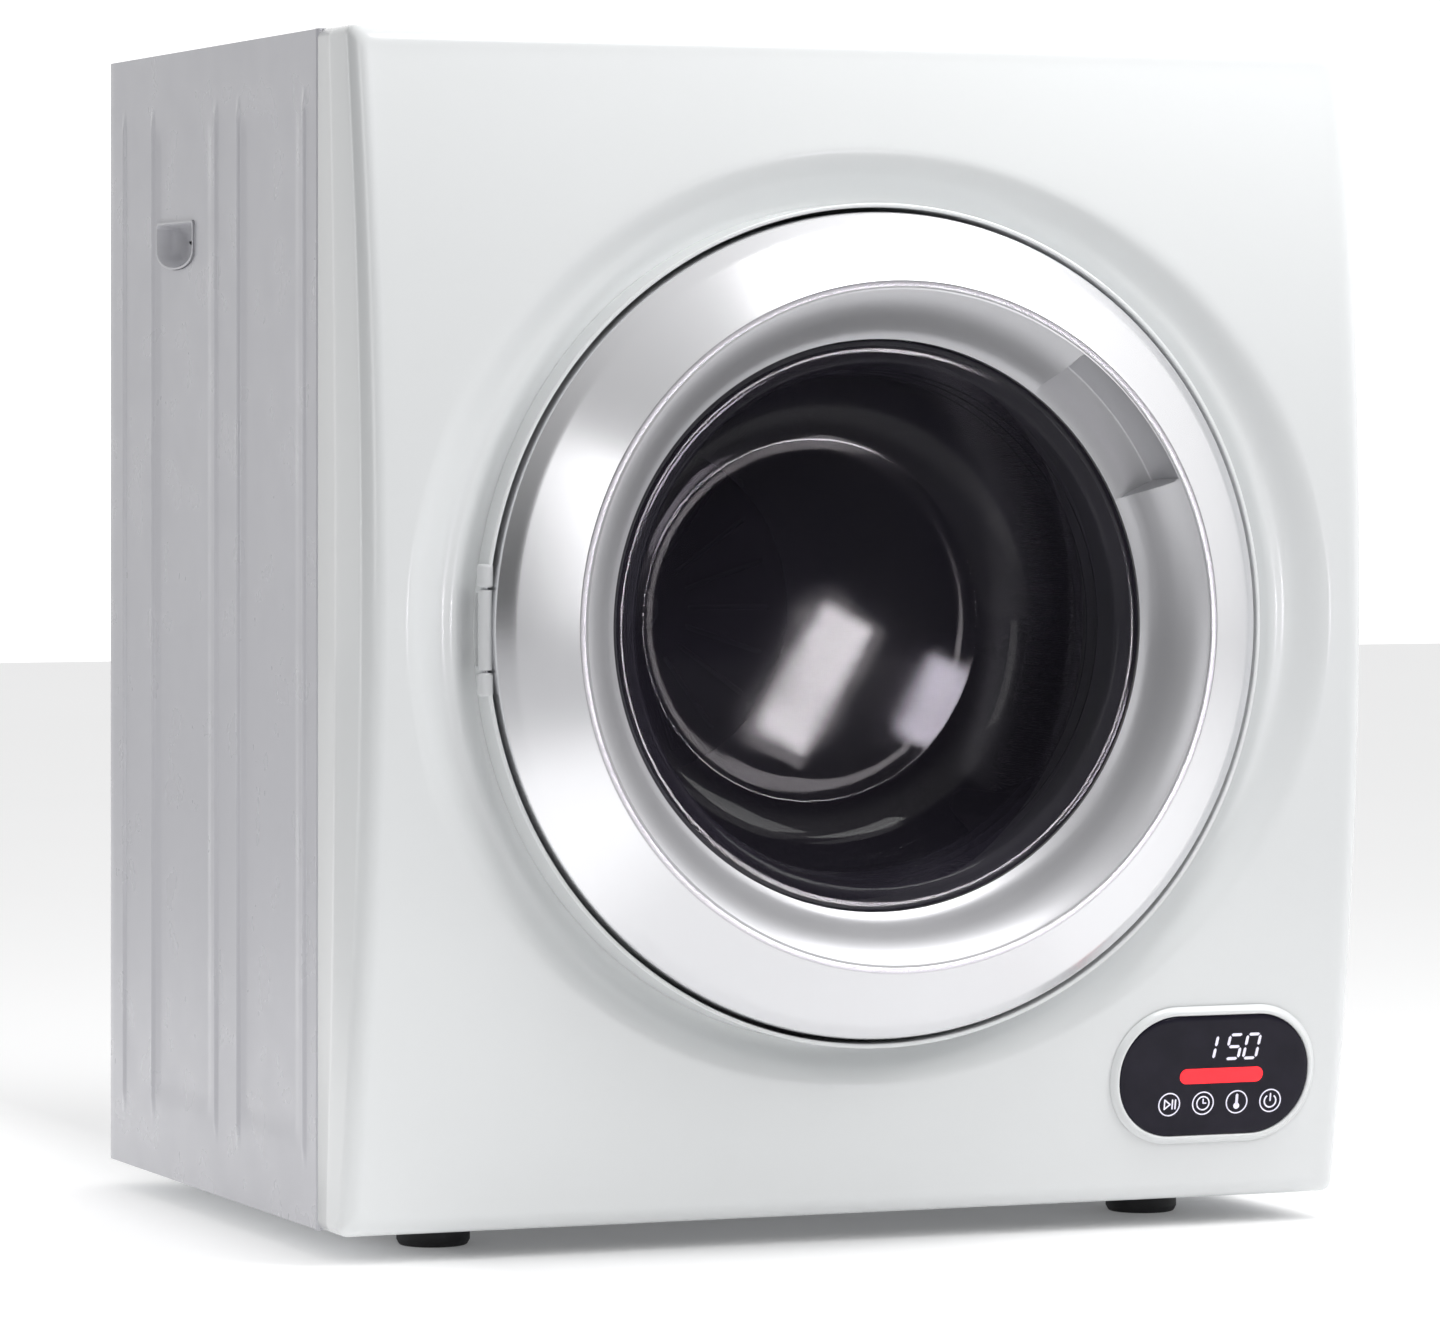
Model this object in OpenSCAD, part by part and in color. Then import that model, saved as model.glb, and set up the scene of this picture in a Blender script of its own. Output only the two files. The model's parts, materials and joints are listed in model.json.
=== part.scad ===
// Compact front-loading vented clothes dryer.
// The front faces -Y and the top faces +Z. The origin is on the floor, under the middle of the machine.
// Inside in_body() a point is X, the depth Y behind the seam of the front panel, and Z above the underside.

/* [Cabinet] */
// Width across the side panels
body_w = 612; // [606:1:624]
// Height of the cabinet without its feet
body_h = 669; // [664:1:690]
// Depth from the seam of the front panel to the back edge
side_d = 405; // [402:1:420]
// Thickness of the sheet steel
sheet = 1.2; // [1:0.1:1.5]
// Height of the feet
foot_h = 16; // [12:1:24]
// Radius of a foot
foot_r = 21; // [16:1:24]

/* [Front panel] */
// Radius of the upright bulge of the front panel
crown_r = 1680; // [1600:10:1800]
// Height at which the front panel stands out most
crown_z = 365; // [350:1:380]
// How far it stands out there
crown_d = 66.6; // [64:0.2:68]
// Wall thickness of the plastic front
front_t = 3; // [2.5:0.1:3.5]
// Corner radius of the front panel
front_corner = 6; // [4:1:12]

/* [Door and drum] */
// Height of the drum and door axis above the underside
drum_z = 335.5; // [334:0.5:338]
// Outer radius of the silver door ring
ring_r = 232.4; // [231:0.2:233]
// Radius of the crest of the door ring
crest_r = 192.2; // [188:0.2:196]
// How far the crest stands out from the seam
crest_d = 115; // [110:1:120]
// Outer radius of the drum
drum_r = 276.2; // [272:0.2:278]
// Depth of the drum
drum_d = 296; // [290:1:298]
// Number of fingers in the blower wheel and slots in the lint cover
blade_count = 20; // [12:1:24]

/* [Vent] */
// Outer radius of the exhaust spigot
spigot_r = 50; // [48:0.5:52]
// Length of the spigot behind the back panel
spigot_len = 36; // [30:1:40]

/* [Hidden] */
$fn = 96;
TINY = 0.01;
seam_y = -(side_d + spigot_len - crest_d) / 2;

// Sheet metal sides: the flat sheet lies a little inside the width, and narrow ribs stand out to it
rib_h = 1.5;
rib_w = 10;
rib_r = (rib_w * rib_w / 4 + rib_h * rib_h) / (2 * rib_h);
rib_places = [28, 148, 190, 313.5, 372];
rib_end = 29;
side_x = body_w / 2 - rib_h;
bend_r = 5;
flange = 24;
screw_x = side_x - 17.5;
screw_heights = [40, 190, 340, 490, 640];
panel_y = side_d - 2 * sheet;

// Hand grips in the sides
grip_y = 270.5;
grip_top = 569;
grip_w = 72;
grip_h = 29;
grip_depth = 18;
grip_wall = 1.5;

// Door opening in the front panel
collar_r = 235;
collar_t = 2.5;
collar_top = -82;
dish_drop = 11;
dish_cone = [[212, 0], [280, -85]];
well_y = -24;
well_t = 2.5;
mouth_r = 176;
mouth_t = 2.5;

// Front bulkhead and hot air channel
bulk_y = 1;
boss_r = 230;
boss_y = 26;
channel_r = 231;
lip_r = 236;

// Drum
drum_y = 22;
drum_back = drum_y + drum_d;
drum_t = 1.2;
lifter_h = 45;
wall_y = drum_back - drum_t;
filter_r = 94;
cover_r = 104;
cover_y = wall_y - 10;
shaft_r = 12.5;

// Back: bulkhead, bearing, air duct and blower
back_y = drum_back + 12;
duct_y = back_y + sheet;
duct_d = 21;
blower_y = duct_y + duct_d;
blower_d = 41;
duct_r = 122;
bearing_r = 20;

// Motor, blower wheel and belt
motor_x = 225;
motor_z = 80;
motor_r = 50;
motor_y = [142, 262];
rotor_r = 6;
eye_r = 38;
scroll_r = 74;
wheel_r = 62;
spigot_x = 45;
spigot_z = 60;
spigot_flange = 13;
flange_t = 2.2;
vent_half = 42;
gland_x = -240;
gland_z = 60;
belt_y = 120;
belt_w = 8;
belt_t = 2;
belt_gap = 0.5;
pulley_r = 9;
idler_r = 15;
idler_x = 120;
idler_pivot = [60, 34];

// Door and hinge
glass_r = 160.6;
glass_y = -80;
bowl_depth = 104;
door_back = -31;
frame_r = 225;
hinge_x = -235.5;
hinge_y = -78;
pin_r = 2;
pin_play = 0.05;
barrel_r = 4;
barrel_h = 44;
ear_r = 5.5;
hinge_h = 74;
pocket_angles = [26, 54];

// Control panel
panel_x = 219;
panel_z = 73.5;
window_w = 120;
window_h = 71;
window_corner = 34.5;
trim_w = 130;
trim_h = 82;
trim_corner = 39.5;
panel_face = -crown_d + (panel_z - crown_z) * (panel_z - crown_z) / (2 * crown_r);
panel_tilt = asin((crown_z - panel_z) / crown_r);

// ---- helpers ----

module in_body() {
  translate([0, seam_y, foot_h]) children();
}

// A flat X-Z outline made solid between two depths
module slab(y0, y1) {
  translate([0, y1, 0]) rotate([90, 0, 0]) linear_extrude(y1 - y0) children();
}

// A profile of [radius, depth] turned about the drum axis
module turned() {
  translate([0, 0, drum_z]) rotate([-90, 0, 0]) rotate_extrude($fn = 180) children();
}

module ring(r0, r1, y0, y1) {
  turned() translate([r0, y0]) square([r1 - r0, y1 - y0]);
}

// A round bar along the depth
module bar(x, z, r, y0, y1) {
  slab(y0, y1) translate([x, z]) circle(r);
}

module block(low, high) {
  translate(low) cube(high - low);
}

module rounded(w, h, r) {
  square([w - 2 * r, h], center = true);
  square([w, h - 2 * r], center = true);
  for (sx = [-1, 1], sz = [-1, 1]) translate([sx * (w / 2 - r), sz * (h / 2 - r)]) circle(r);
}

// Outline of two circles joined by their outer tangents, from the origin to the point far
module tear_drop(r0, r1, far, steps = 40) {
  turn = atan2(far[1], far[0]);
  spread = acos((r0 - r1) / norm(far));
  polygon(concat(
    arc(0, 0, r0, turn + spread, turn + 360 - spread, steps),
    arc(far[0], far[1], r1, turn - spread, turn + spread, 12)
  ));
}

// Keeps what lies between two angles around the drum axis, seen from the front, less than 180 degrees apart
module sector(a0, a1, y0, y1) {
  reach = 900;
  intersection() {
    children();
    slab(y0, y1) translate([0, drum_z])
      polygon([[0, 0], reach * [cos(a0), sin(a0)], reach * [cos(a1), sin(a1)]]);
  }
}

function arc(cx, cy, r, a0, a1, steps) =
  [for (i = [0 : steps]) let (a = a0 + (a1 - a0) * i / steps) [cx + r * cos(a), cy + r * sin(a)]];

// ---- cabinet ----

module side_corner(r, inset) {
  translate([-side_x + inset, 0]) {
    square([flange, side_d - inset - r]);
    translate([r, 0]) square([flange - r, side_d - inset]);
    translate([r, side_d - inset - r]) circle(r);
  }
}

module side_sheet() {
  linear_extrude(body_h) difference() {
    side_corner(bend_r, 0);
    translate([0, -TINY]) side_corner(bend_r - sheet, sheet);
    translate([-side_x + flange, -1]) square([2 * flange, side_d + 2]);
  }
  block([-side_x + sheet / 2, 2, body_h - 2.6], [-side_x + flange, panel_y - 8, body_h - 1.4]);
  for (y = rib_places) translate([0, y, rib_end]) linear_extrude(body_h - 2 * rib_end) intersection() {
    translate([-body_w / 2 + rib_r, 0]) circle(rib_r);
    translate([-body_w / 2, -rib_w]) square([rib_h + sheet / 2, 2 * rib_w]);
  }
}

// D-shaped grip outline in depth and height below its flat top edge
module grip_outline(grow) {
  square_h = grip_h / 2;
  translate([-grip_w / 2 - grow, -square_h]) square([grip_w + 2 * grow, square_h + grow]);
  intersection() {
    translate([0, grip_w / 2 - grip_h + 5]) circle(grip_w / 2 + 5 + grow);
    translate([-grip_w / 2 - grow, -grip_h - grow]) square([grip_w + 2 * grow, square_h + grow + TINY]);
  }
}

// The grip outline made solid from the left face inwards
module grip_solid(grow, x0, x1) {
  translate([x0, grip_y, grip_top]) rotate([90, 0, 90]) linear_extrude(x1 - x0) grip_outline(grow);
}

module left_panel_shape() {
  difference() {
    side_sheet();
    grip_solid(0, -body_w / 2 - 5, -body_w / 2 + 30);
    for (z = screw_heights) bar(-screw_x, z, 2.1, side_d - 5, side_d + 5);
  }
}

module left_grip_shape() {
  difference() {
    grip_solid(-0.1, -side_x, -side_x + grip_depth);
    grip_solid(-0.1 - grip_wall, -side_x - 1, -side_x + grip_depth - grip_wall);
  }
}

module left_side_panel() {
  color("gainsboro") in_body() left_panel_shape();
}

module right_side_panel() {
  color("gainsboro") in_body() mirror([1, 0, 0]) left_panel_shape();
}

module side_grip_left() {
  color("whitesmoke") in_body() left_grip_shape();
}

module side_grip_right() {
  color("whitesmoke") in_body() mirror([1, 0, 0]) left_grip_shape();
}

module top_cover() {
  half = side_x - sheet - 0.2;
  lap = side_x - flange - 1;
  color("gainsboro") in_body() difference() {
    union() {
      translate([0, 0, body_h - 1.4]) linear_extrude(1.4) {
        translate([-half, 0.2]) square([2 * half, side_d - sheet - bend_r]);
        translate([-half + bend_r, 0.2]) square([2 * (half - bend_r), side_d - sheet - 0.4]);
        for (s = [-1, 1]) translate([s * (half - bend_r), side_d - sheet - bend_r - 0.2]) circle(bend_r);
        translate([-lap, 0.2]) square([2 * lap, side_d - 0.2]);
      }
      block([-lap, side_d - sheet, body_h - 16], [lap, side_d, body_h - 1]);
    }
    top_screw_places() bar(0, 0, 2.1, side_d - 5, side_d + 5);
  }
}

module rear_panel() {
  half = side_x - bend_r - 0.5;
  louvre_w = 70;
  color("silver") in_body() difference() {
    slab(panel_y, panel_y + sheet - 0.05) translate([0, body_h / 2])
      square([2 * half, body_h - 8], center = true);
    slab(panel_y - 5, panel_y + 5) translate([spigot_x, spigot_z]) square(2 * vent_half, center = true);
    for (row = [0 : 9], col = [-2 : 0])
      block([col * 95 - louvre_w / 2 - 20, panel_y - 5, 470 + row * 14],
            [col * 95 + louvre_w / 2 - 20, panel_y + 5, 473 + row * 14]);
    bar(gland_x, gland_z, 9.2, panel_y - 5, panel_y + 5);
    edge_screw_places() bar(0, 0, 2.1, panel_y - 5, panel_y + 5);
    top_screw_places() bar(0, 0, 2.1, panel_y - 5, panel_y + 5);
    spigot_screw_places() bar(0, 0, 2.1, panel_y - 5, panel_y + 5);
  }
}

// Screws that hold the back panel: down both edges, and along the top
module edge_screw_places() {
  for (z = screw_heights, s = [-1, 1]) translate([s * screw_x, 0, z]) children();
}

module top_screw_places() {
  for (x = [-140, 140]) translate([x, 0, body_h - 8]) children();
}

module spigot_screw_places() {
  for (a = [35, 145, 215, 325])
    translate([spigot_x + (spigot_r + 6.6) * cos(a), 0, spigot_z + (spigot_r + 6.6) * sin(a)]) children();
}

module base_pan() {
  half = side_x - sheet - 0.3;
  color("silver") in_body() difference() {
    union() {
      block([-half, 2.8, 0], [half, side_d - bend_r - 0.6, 2]);
      block([-half, 2.8, 2], [half, 4.2, 18]);
      for (x = [-150, -60]) block([x - 6, 60, 2], [x + 6, 320, 6]);
    }
    foot_places() translate([0, 0, -1]) cylinder(r = 3.1, h = 6);
    for (i = [0 : 7]) block([-260, 70 + i * 12, -1], [-190, 73 + i * 12, 5]);
  }
}

module foot_places() {
  for (x = [-222, 222], y = [45, 350]) translate([x, y, 0]) children();
}

module feet() {
  color("#1b1b1d") in_body() foot_places() {
    translate([0, 0, -foot_h]) cylinder(r = foot_r, h = foot_h - 4);
    translate([0, 0, -4]) cylinder(r = foot_r - 5, h = 4);
    cylinder(r = 3, h = 5);
  }
}

// A pan-head screw whose head lies on the plane y
module screw(y) {
  bar(0, 0, 4, y, y + 2.2);
  bar(0, 0, 2, y - 7, y + 1);
}

module cabinet_screws() {
  color("silver") in_body() {
    edge_screw_places() screw(side_d);
    top_screw_places() screw(side_d);
    spigot_screw_places() screw(panel_y + sheet + flange_t);
  }
}

// ---- front panel ----

// The crowned block that the front panel is shaped from, shrunk by inset
module crowned(inset) {
  intersection() {
    slab(-80, 0) translate([0, body_h / 2])
      rounded(body_w - 2 * inset, body_h - 2 * inset, max(front_corner - inset, 1));
    translate([-body_w, -crown_d + crown_r, crown_z]) rotate([0, 90, 0])
      cylinder(r = crown_r - inset, h = 2 * body_w, $fn = 360);
  }
}

// Cone-sided space of the shallow dish around the door, its floor following the crown
module dish_space(grow) {
  difference() {
    turned() polygon([
      [0, -90], [0, dish_cone[0][1]], dish_cone[0] + [grow, 0], dish_cone[1] + [grow, 0],
      [dish_cone[1][0] + grow, -90]
    ]);
    translate([-body_w, dish_drop + grow - crown_d + crown_r, crown_z]) rotate([0, 90, 0])
      cylinder(r = crown_r, h = 2 * body_w, $fn = 360);
  }
}

module front_fascia() {
  color("white") in_body() difference() {
    union() {
      difference() {
        crowned(0);
        translate([0, TINY, 0]) crowned(front_t);
        dish_space(0);
        ring(0, collar_r + 1, -90, 1);
      }
      difference() {
        intersection() {
          crowned(0);
          dish_space(front_t);
        }
        dish_space(0);
        ring(0, collar_r + 1, -90, 1);
      }
      turned() polygon([
        [collar_r, collar_top], [collar_r + collar_t, collar_top], [collar_r + collar_t, well_y + well_t],
        [mouth_r + mouth_t, well_y + well_t], [mouth_r + mouth_t, -1.5], [mouth_r, -1.5],
        [mouth_r, well_y], [collar_r, well_y]
      ]);
    }
    // hinge slot, latch slot and the seat of the control panel
    block([-244, collar_top - 2, drum_z - hinge_h / 2 - 1], [-228, well_y - 2, drum_z + hinge_h / 2 + 1]);
    block([196, well_y - 1, drum_z - 8], [212, well_y + well_t + 1, drum_z + 8]);
    on_panel(-10, 10) rounded(window_w - 6, window_h - 6, window_corner - 3);
  }
}

// ---- bulkheads and hot air channel ----

module front_bulkhead() {
  color("lightgray") in_body() union() {
    difference() {
      slab(bulk_y, bulk_y + sheet) translate([0, body_h / 2])
        square([2 * side_x - 6, body_h - 12], center = true);
      ring(0, boss_r, bulk_y - 5, bulk_y + 5);
    }
    turned() polygon([
      [boss_r - sheet, bulk_y], [boss_r, bulk_y], [boss_r, boss_y + sheet], [mouth_r, boss_y + sheet],
      [mouth_r, -1.3], [mouth_r + sheet, -1.3], [mouth_r + sheet, boss_y], [boss_r - sheet, boss_y]
    ]);
  }
}

module air_channel_ring() {
  color("silver") in_body() difference() {
    ring(channel_r, channel_r + 1.5, well_y + well_t + 0.2, bulk_y - 0.2);
    at_heater() block([-39, -19, 200], [39, -1.5, 260]);
  }
}

// The heater sits in the upper left corner, square to a line from the drum axis
module at_heater() {
  translate([0, 0, drum_z]) rotate([0, -41, 0]) children();
}

module heater_box() {
  color("silver") in_body() at_heater() {
    // duct to the channel ring
    difference() {
      block([-42, -21, 233.5], [42, -0.2, 306]);
      block([-40.5, -19.5, 233], [40.5, -1.7, 307]);
    }
    // box around the heater, open at its outer end
    difference() {
      block([-52, -36, 306], [52, -0.2, 350]);
      block([-50.5, -34.5, 307.5], [50.5, -1.7, 351]);
      block([-40.5, -19.5, 305], [40.5, -1.7, 309]);
    }
  }
}

module ptc_heater() {
  fin = 2.2;
  color("dimgray") in_body() at_heater() {
    for (i = [0 : 11]) block([-48 + i * 8, -33, 316], [-48 + i * 8 + fin, -3, 336]);
    for (y = [-31, -19, -7]) block([-48, y, 317], [-48 + 11 * 8 + fin, y + 3, 335]);
  }
}

module thermal_cutouts() {
  color("tan") in_body() at_heater() for (x = [-20, 20]) {
    translate([x, -21, 272]) rotate([90, 0, 0]) cylinder(r = 10, h = 7);
    translate([x, -28, 272]) rotate([90, 0, 0]) cylinder(r = 5, h = 3);
  }
}

module felt_seal_front() {
  color("beige") in_body() ring(boss_r, lip_r - 0.4, 9, 20);
}

module felt_seal_rear() {
  color("beige") in_body() ring(duct_r + 2, duct_r + 12, drum_back + 0.4, back_y);
}

module rear_bulkhead() {
  color("lightgray") in_body() difference() {
    union() {
      difference() {
        slab(back_y, back_y + sheet) translate([0, body_h / 2])
          square([2 * side_x - 6, body_h - 14], center = true);
        ring(0, duct_r - 8, back_y - 5, back_y + 5);
      }
      for (a = [30 : 120 : 270]) translate([0, 0, drum_z]) rotate([0, a, 0])
        block([18, back_y, -9], [duct_r - 4, back_y + sheet + 2, 9]);
      ring(10, bearing_r + 6, back_y - 5, back_y + 9);
    }
    ring(0, bearing_r, back_y - 8, back_y + 12);
    bar(motor_x, motor_z, 20, back_y - 5, back_y + 5);
  }
}

module shaft_bearing() {
  color("goldenrod") in_body() ring(shaft_r + 0.05, bearing_r, back_y - 5, back_y + 9);
}

module duct_outline(inset) {
  translate([0, drum_z]) tear_drop(duct_r - inset, 66 - inset, [motor_x, motor_z - drum_z]);
}

module rear_air_duct() {
  color("silver") in_body() difference() {
    slab(duct_y, duct_y + duct_d) duct_outline(0);
    slab(duct_y - 1, duct_y + duct_d - sheet) duct_outline(1.5);
    bar(motor_x, motor_z, eye_r, duct_y, blower_y + 5);
  }
}

module blower_outline(inset) {
  translate([motor_x, motor_z]) circle(scroll_r - inset);
  translate([90, motor_z - scroll_r + inset]) square([motor_x - 90, 64 - 2 * inset]);
  outlet_outline(inset);
}

// Square outlet of the blower, open towards the back panel
module outlet_outline(inset) {
  translate([spigot_x - 53 + inset, motor_z - scroll_r + inset]) square([106 - 2 * inset, 108 - 2 * inset]);
}

module blower_housing() {
  color("darkgray") in_body() difference() {
    union() {
      slab(blower_y, blower_y + blower_d) blower_outline(0);
      slab(blower_y, panel_y - 0.3) outlet_outline(0);
    }
    slab(blower_y + 1.5, blower_y + blower_d - 1.5) blower_outline(1.5);
    slab(blower_y + 1.5, panel_y + 1) outlet_outline(1.5);
    bar(motor_x, motor_z, eye_r, blower_y - 1, blower_y + 5);
  }
}

module exhaust_spigot() {
  color("whitesmoke") in_body() difference() {
    union() {
      bar(spigot_x, spigot_z, spigot_r, panel_y + sheet, side_d + spigot_len);
      bar(spigot_x, spigot_z, spigot_r + spigot_flange, panel_y + sheet, panel_y + sheet + flange_t);
    }
    bar(spigot_x, spigot_z, spigot_r - 1.5, panel_y, side_d + spigot_len + 1);
    spigot_screw_places() bar(0, 0, 2.1, panel_y - 5, panel_y + 8);
  }
}

// ---- drum ----

module drum_shell() {
  color("silver") in_body() ring(drum_r - drum_t, drum_r, drum_y, drum_back);
}

module drum_front_ring() {
  color("silver") in_body() turned() polygon([
    [lip_r, 8], [lip_r + drum_t, 8], [lip_r + drum_t, drum_y], [drum_r - drum_t, drum_y],
    [drum_r - drum_t, drum_y + drum_t], [lip_r, drum_y + drum_t]
  ]);
}

module drum_rear_wall() {
  color("silver") in_body() difference() {
    ring(filter_r, drum_r - drum_t, wall_y, drum_back);
    for (a = [15 : 60 : 345]) translate([0, 0, drum_z]) rotate([0, a, 0])
      translate([filter_r + 14, drum_back - 5, 0]) rotate([-90, 0, 0]) cylinder(r = 3, h = 10);
  }
}

// Cast spider behind the rear wall that carries the shaft
module drum_hub() {
  hub_y = drum_back;
  color("darkgray") in_body() difference() {
    union() {
      ring(shaft_r, 24, hub_y, hub_y + 5);
      for (a = [15 : 60 : 345]) translate([0, 0, drum_z]) rotate([0, a, 0])
        block([20, hub_y, -7], [filter_r + 22, hub_y + 3, 7]);
    }
    for (a = [15 : 60 : 345]) translate([0, 0, drum_z]) rotate([0, a, 0])
      translate([filter_r + 14, hub_y - 5, 0]) rotate([-90, 0, 0]) cylinder(r = 3, h = 10);
  }
}

module drum_shaft() {
  color("silver") in_body() bar(0, drum_z, shaft_r, drum_back, back_y + 15);
}

// Tapered lifter, its foot shaped to the drum wall
module lifter(turn) {
  top = drum_r - drum_t - lifter_h;
  color("whitesmoke") in_body() intersection() {
    ring(0, drum_r - drum_t - 0.05, drum_y + 14, drum_back - 8);
    translate([0, 0, drum_z]) rotate([0, turn, 0]) slab(drum_y + 14, drum_back - 8)
      polygon([[top + 6, -11], [top, -5], [top, 5], [top + 6, 11], [drum_r + 5, 36], [drum_r + 5, -36]]);
  }
}

module lifter_1() {
  lifter(30);
}

module lifter_2() {
  lifter(150);
}

module lifter_3() {
  lifter(270);
}

// Slotted cup over the hole in the rear wall, pulled off by its knob
module lint_filter_cover() {
  color("#3a383d") in_body() difference() {
    turned() polygon([
      [0, cover_y - 14], [11, cover_y - 14], [14, cover_y - 11], [14, cover_y], [cover_r, cover_y],
      [cover_r, wall_y], [cover_r - 4, wall_y], [cover_r - 4, cover_y + 2.5], [0, cover_y + 2.5]
    ]);
    for (i = [0 : blade_count - 1]) translate([0, 0, drum_z]) rotate([0, i * 360 / blade_count, 0])
      block([38, cover_y - 5, -1.6], [cover_r - 12, cover_y + 5, 1.6]);
  }
}

module lint_screen() {
  color("darkgray") in_body() ring(0, cover_r - 4, wall_y - 3, wall_y - 1.4);
}

// ---- drive ----

module belt_outline(grow) {
  translate([0, drum_z])
    tear_drop(drum_r + belt_gap + grow, pulley_r + belt_gap + grow, [motor_x, motor_z - drum_z], 100);
}

module drum_belt() {
  color("#222222") in_body() slab(belt_y - belt_w / 2, belt_y + belt_w / 2) difference() {
    belt_outline(belt_t);
    belt_outline(0);
  }
}

module motor_body() {
  color("dimgray") in_body() difference() {
    union() {
      bar(motor_x, motor_z, motor_r, motor_y[0] + 8, motor_y[1] - 8);
      bar(motor_x, motor_z, motor_r - 8, motor_y[0], motor_y[1]);
    }
    bar(motor_x, motor_z, rotor_r + 0.05, motor_y[0] - 5, motor_y[1] + 5);
  }
}

module motor_bracket() {
  color("silver") in_body() difference() {
    union() {
      for (y = [motor_y[0] + 14, motor_y[1] - 26])
        block([motor_x - 40, y, 2], [motor_x + 40, y + 12, motor_z - 20]);
      block([motor_x - 40, motor_y[0] + 14, 2], [motor_x + 40, motor_y[1] - 14, 5]);
    }
    bar(motor_x, motor_z, motor_r, motor_y[0], motor_y[1]);
  }
}

module motor_shaft() {
  color("silver") in_body() bar(motor_x, motor_z, rotor_r, belt_y - 12, blower_y + 38);
}

module motor_pulley() {
  color("gray") in_body() difference() {
    union() {
      bar(motor_x, motor_z, pulley_r, belt_y - 6, belt_y + 6);
      for (y = [belt_y - 7.5, belt_y + 6]) bar(motor_x, motor_z, pulley_r + 3.5, y, y + 1.5);
    }
    bar(motor_x, motor_z, rotor_r, belt_y - 10, belt_y + 10);
  }
}

// Squirrel cage wheel with its back plate on the motor shaft
module blower_wheel() {
  y0 = blower_y + 5;
  y1 = blower_y + 38;
  color("#333333") in_body() difference() {
    union() {
      bar(motor_x, motor_z, 14, y1 - 16, y1);
      bar(motor_x, motor_z, wheel_r, y1 - 2, y1);
      slab(y0, y0 + 2) translate([motor_x, motor_z]) difference() {
        circle(wheel_r);
        circle(wheel_r - 14);
      }
      for (i = [0 : blade_count - 1]) translate([motor_x, 0, motor_z]) rotate([0, i * 360 / blade_count, 0])
        translate([wheel_r - 7, 0, 0]) rotate([0, 35, 0]) block([-6, y0 + 1, -0.8], [6, y1 - 1, 0.8]);
    }
    bar(motor_x, motor_z, rotor_r, y0, y1 + 5);
  }
}

// Height of the belt's lower run at a place across the machine
function run_z(x) =
  let (length = norm([motor_x, motor_z - drum_z]),
       turn = atan2(motor_z - drum_z, motor_x),
       big = drum_r + belt_gap + belt_t,
       small = pulley_r + belt_gap + belt_t,
       a = turn - acos((big - small) / length),
       p = [big * cos(a), drum_z + big * sin(a)],
       q = [motor_x + small * cos(a), motor_z + small * sin(a)])
  p[1] + (q[1] - p[1]) * (x - p[0]) / (q[0] - p[0]);

idler_z = run_z(idler_x) - idler_r - 0.6;

module idler_bracket() {
  color("silver") in_body() {
    block([idler_pivot[0] - 18, belt_y - 34, 2], [idler_pivot[0] + 55, belt_y - 4, 4]);
    block([idler_pivot[0] - 10, belt_y - 30, 4], [idler_pivot[0] + 10, belt_y - 26, idler_pivot[1] + 10]);
    bar(idler_pivot[0], idler_pivot[1], 4, belt_y - 26, belt_y - 12);
  }
}

module idler_arm() {
  reach = [idler_x - idler_pivot[0], idler_z - idler_pivot[1]];
  color("silver") in_body() difference() {
    union() {
      bar(idler_pivot[0], idler_pivot[1], 9, belt_y - 24, belt_y - 14);
      slab(belt_y - 22, belt_y - 18) translate(idler_pivot) tear_drop(10.5, 8, reach);
    }
    bar(idler_pivot[0], idler_pivot[1], 4.05, belt_y - 26, belt_y - 10);
    bar(idler_x, idler_z, 4, belt_y - 26, belt_y - 10);
  }
}

module idler_axle() {
  color("gray") in_body() bar(idler_x, idler_z, 4, belt_y - 22, belt_y + 8);
}

module idler_pulley() {
  color("#333333") in_body() difference() {
    bar(idler_x, idler_z, idler_r, belt_y - 7, belt_y + 7);
    bar(idler_x, idler_z, 4.05, belt_y - 10, belt_y + 10);
  }
}

// Compression spring between the bracket foot and the arm, drawn as a tube
module idler_spring() {
  spring_x = 96;
  slope = (idler_z - idler_pivot[1]) / (idler_x - idler_pivot[0]);
  top = idler_pivot[1] + (spring_x - idler_pivot[0]) * slope - 10.8;
  color("silver") in_body() translate([spring_x, belt_y - 20, 4]) difference() {
    cylinder(r = 5, h = top - 4);
    translate([0, 0, -1]) cylinder(r = 3.8, h = top);
  }
}

module capacitor() {
  color("lightgray") in_body() {
    translate([-100, 230, 6.2]) cylinder(r = 18, h = 38);
    for (x = [-106, -94]) block([x - 1, 227, 44.2], [x + 1, 233, 50]);
  }
}

// ---- door ----

module hinge_axis_bar(r, h) {
  translate([hinge_x, hinge_y, drum_z - h / 2]) cylinder(r = r, h = h);
}

module door_outer_ring() {
  color("silver") in_body() difference() {
    turned() polygon(concat(
      [[ring_r, -62], [ring_r, -85]],
      arc(crest_r + 1.5, -crest_d + 1.5, 1.5, -53, -90, 3),
      [[crest_r - 2.2, -crest_d], [crest_r - 2.2, -crest_d + 3.5], [ring_r - 3, -82], [ring_r - 3, -62]]
    ));
    hinge_axis_bar(ear_r + 0.8, hinge_h + 4);
    block([-240, -80, drum_z - 13], [-226, -60, drum_z + 13]);
  }
}

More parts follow.
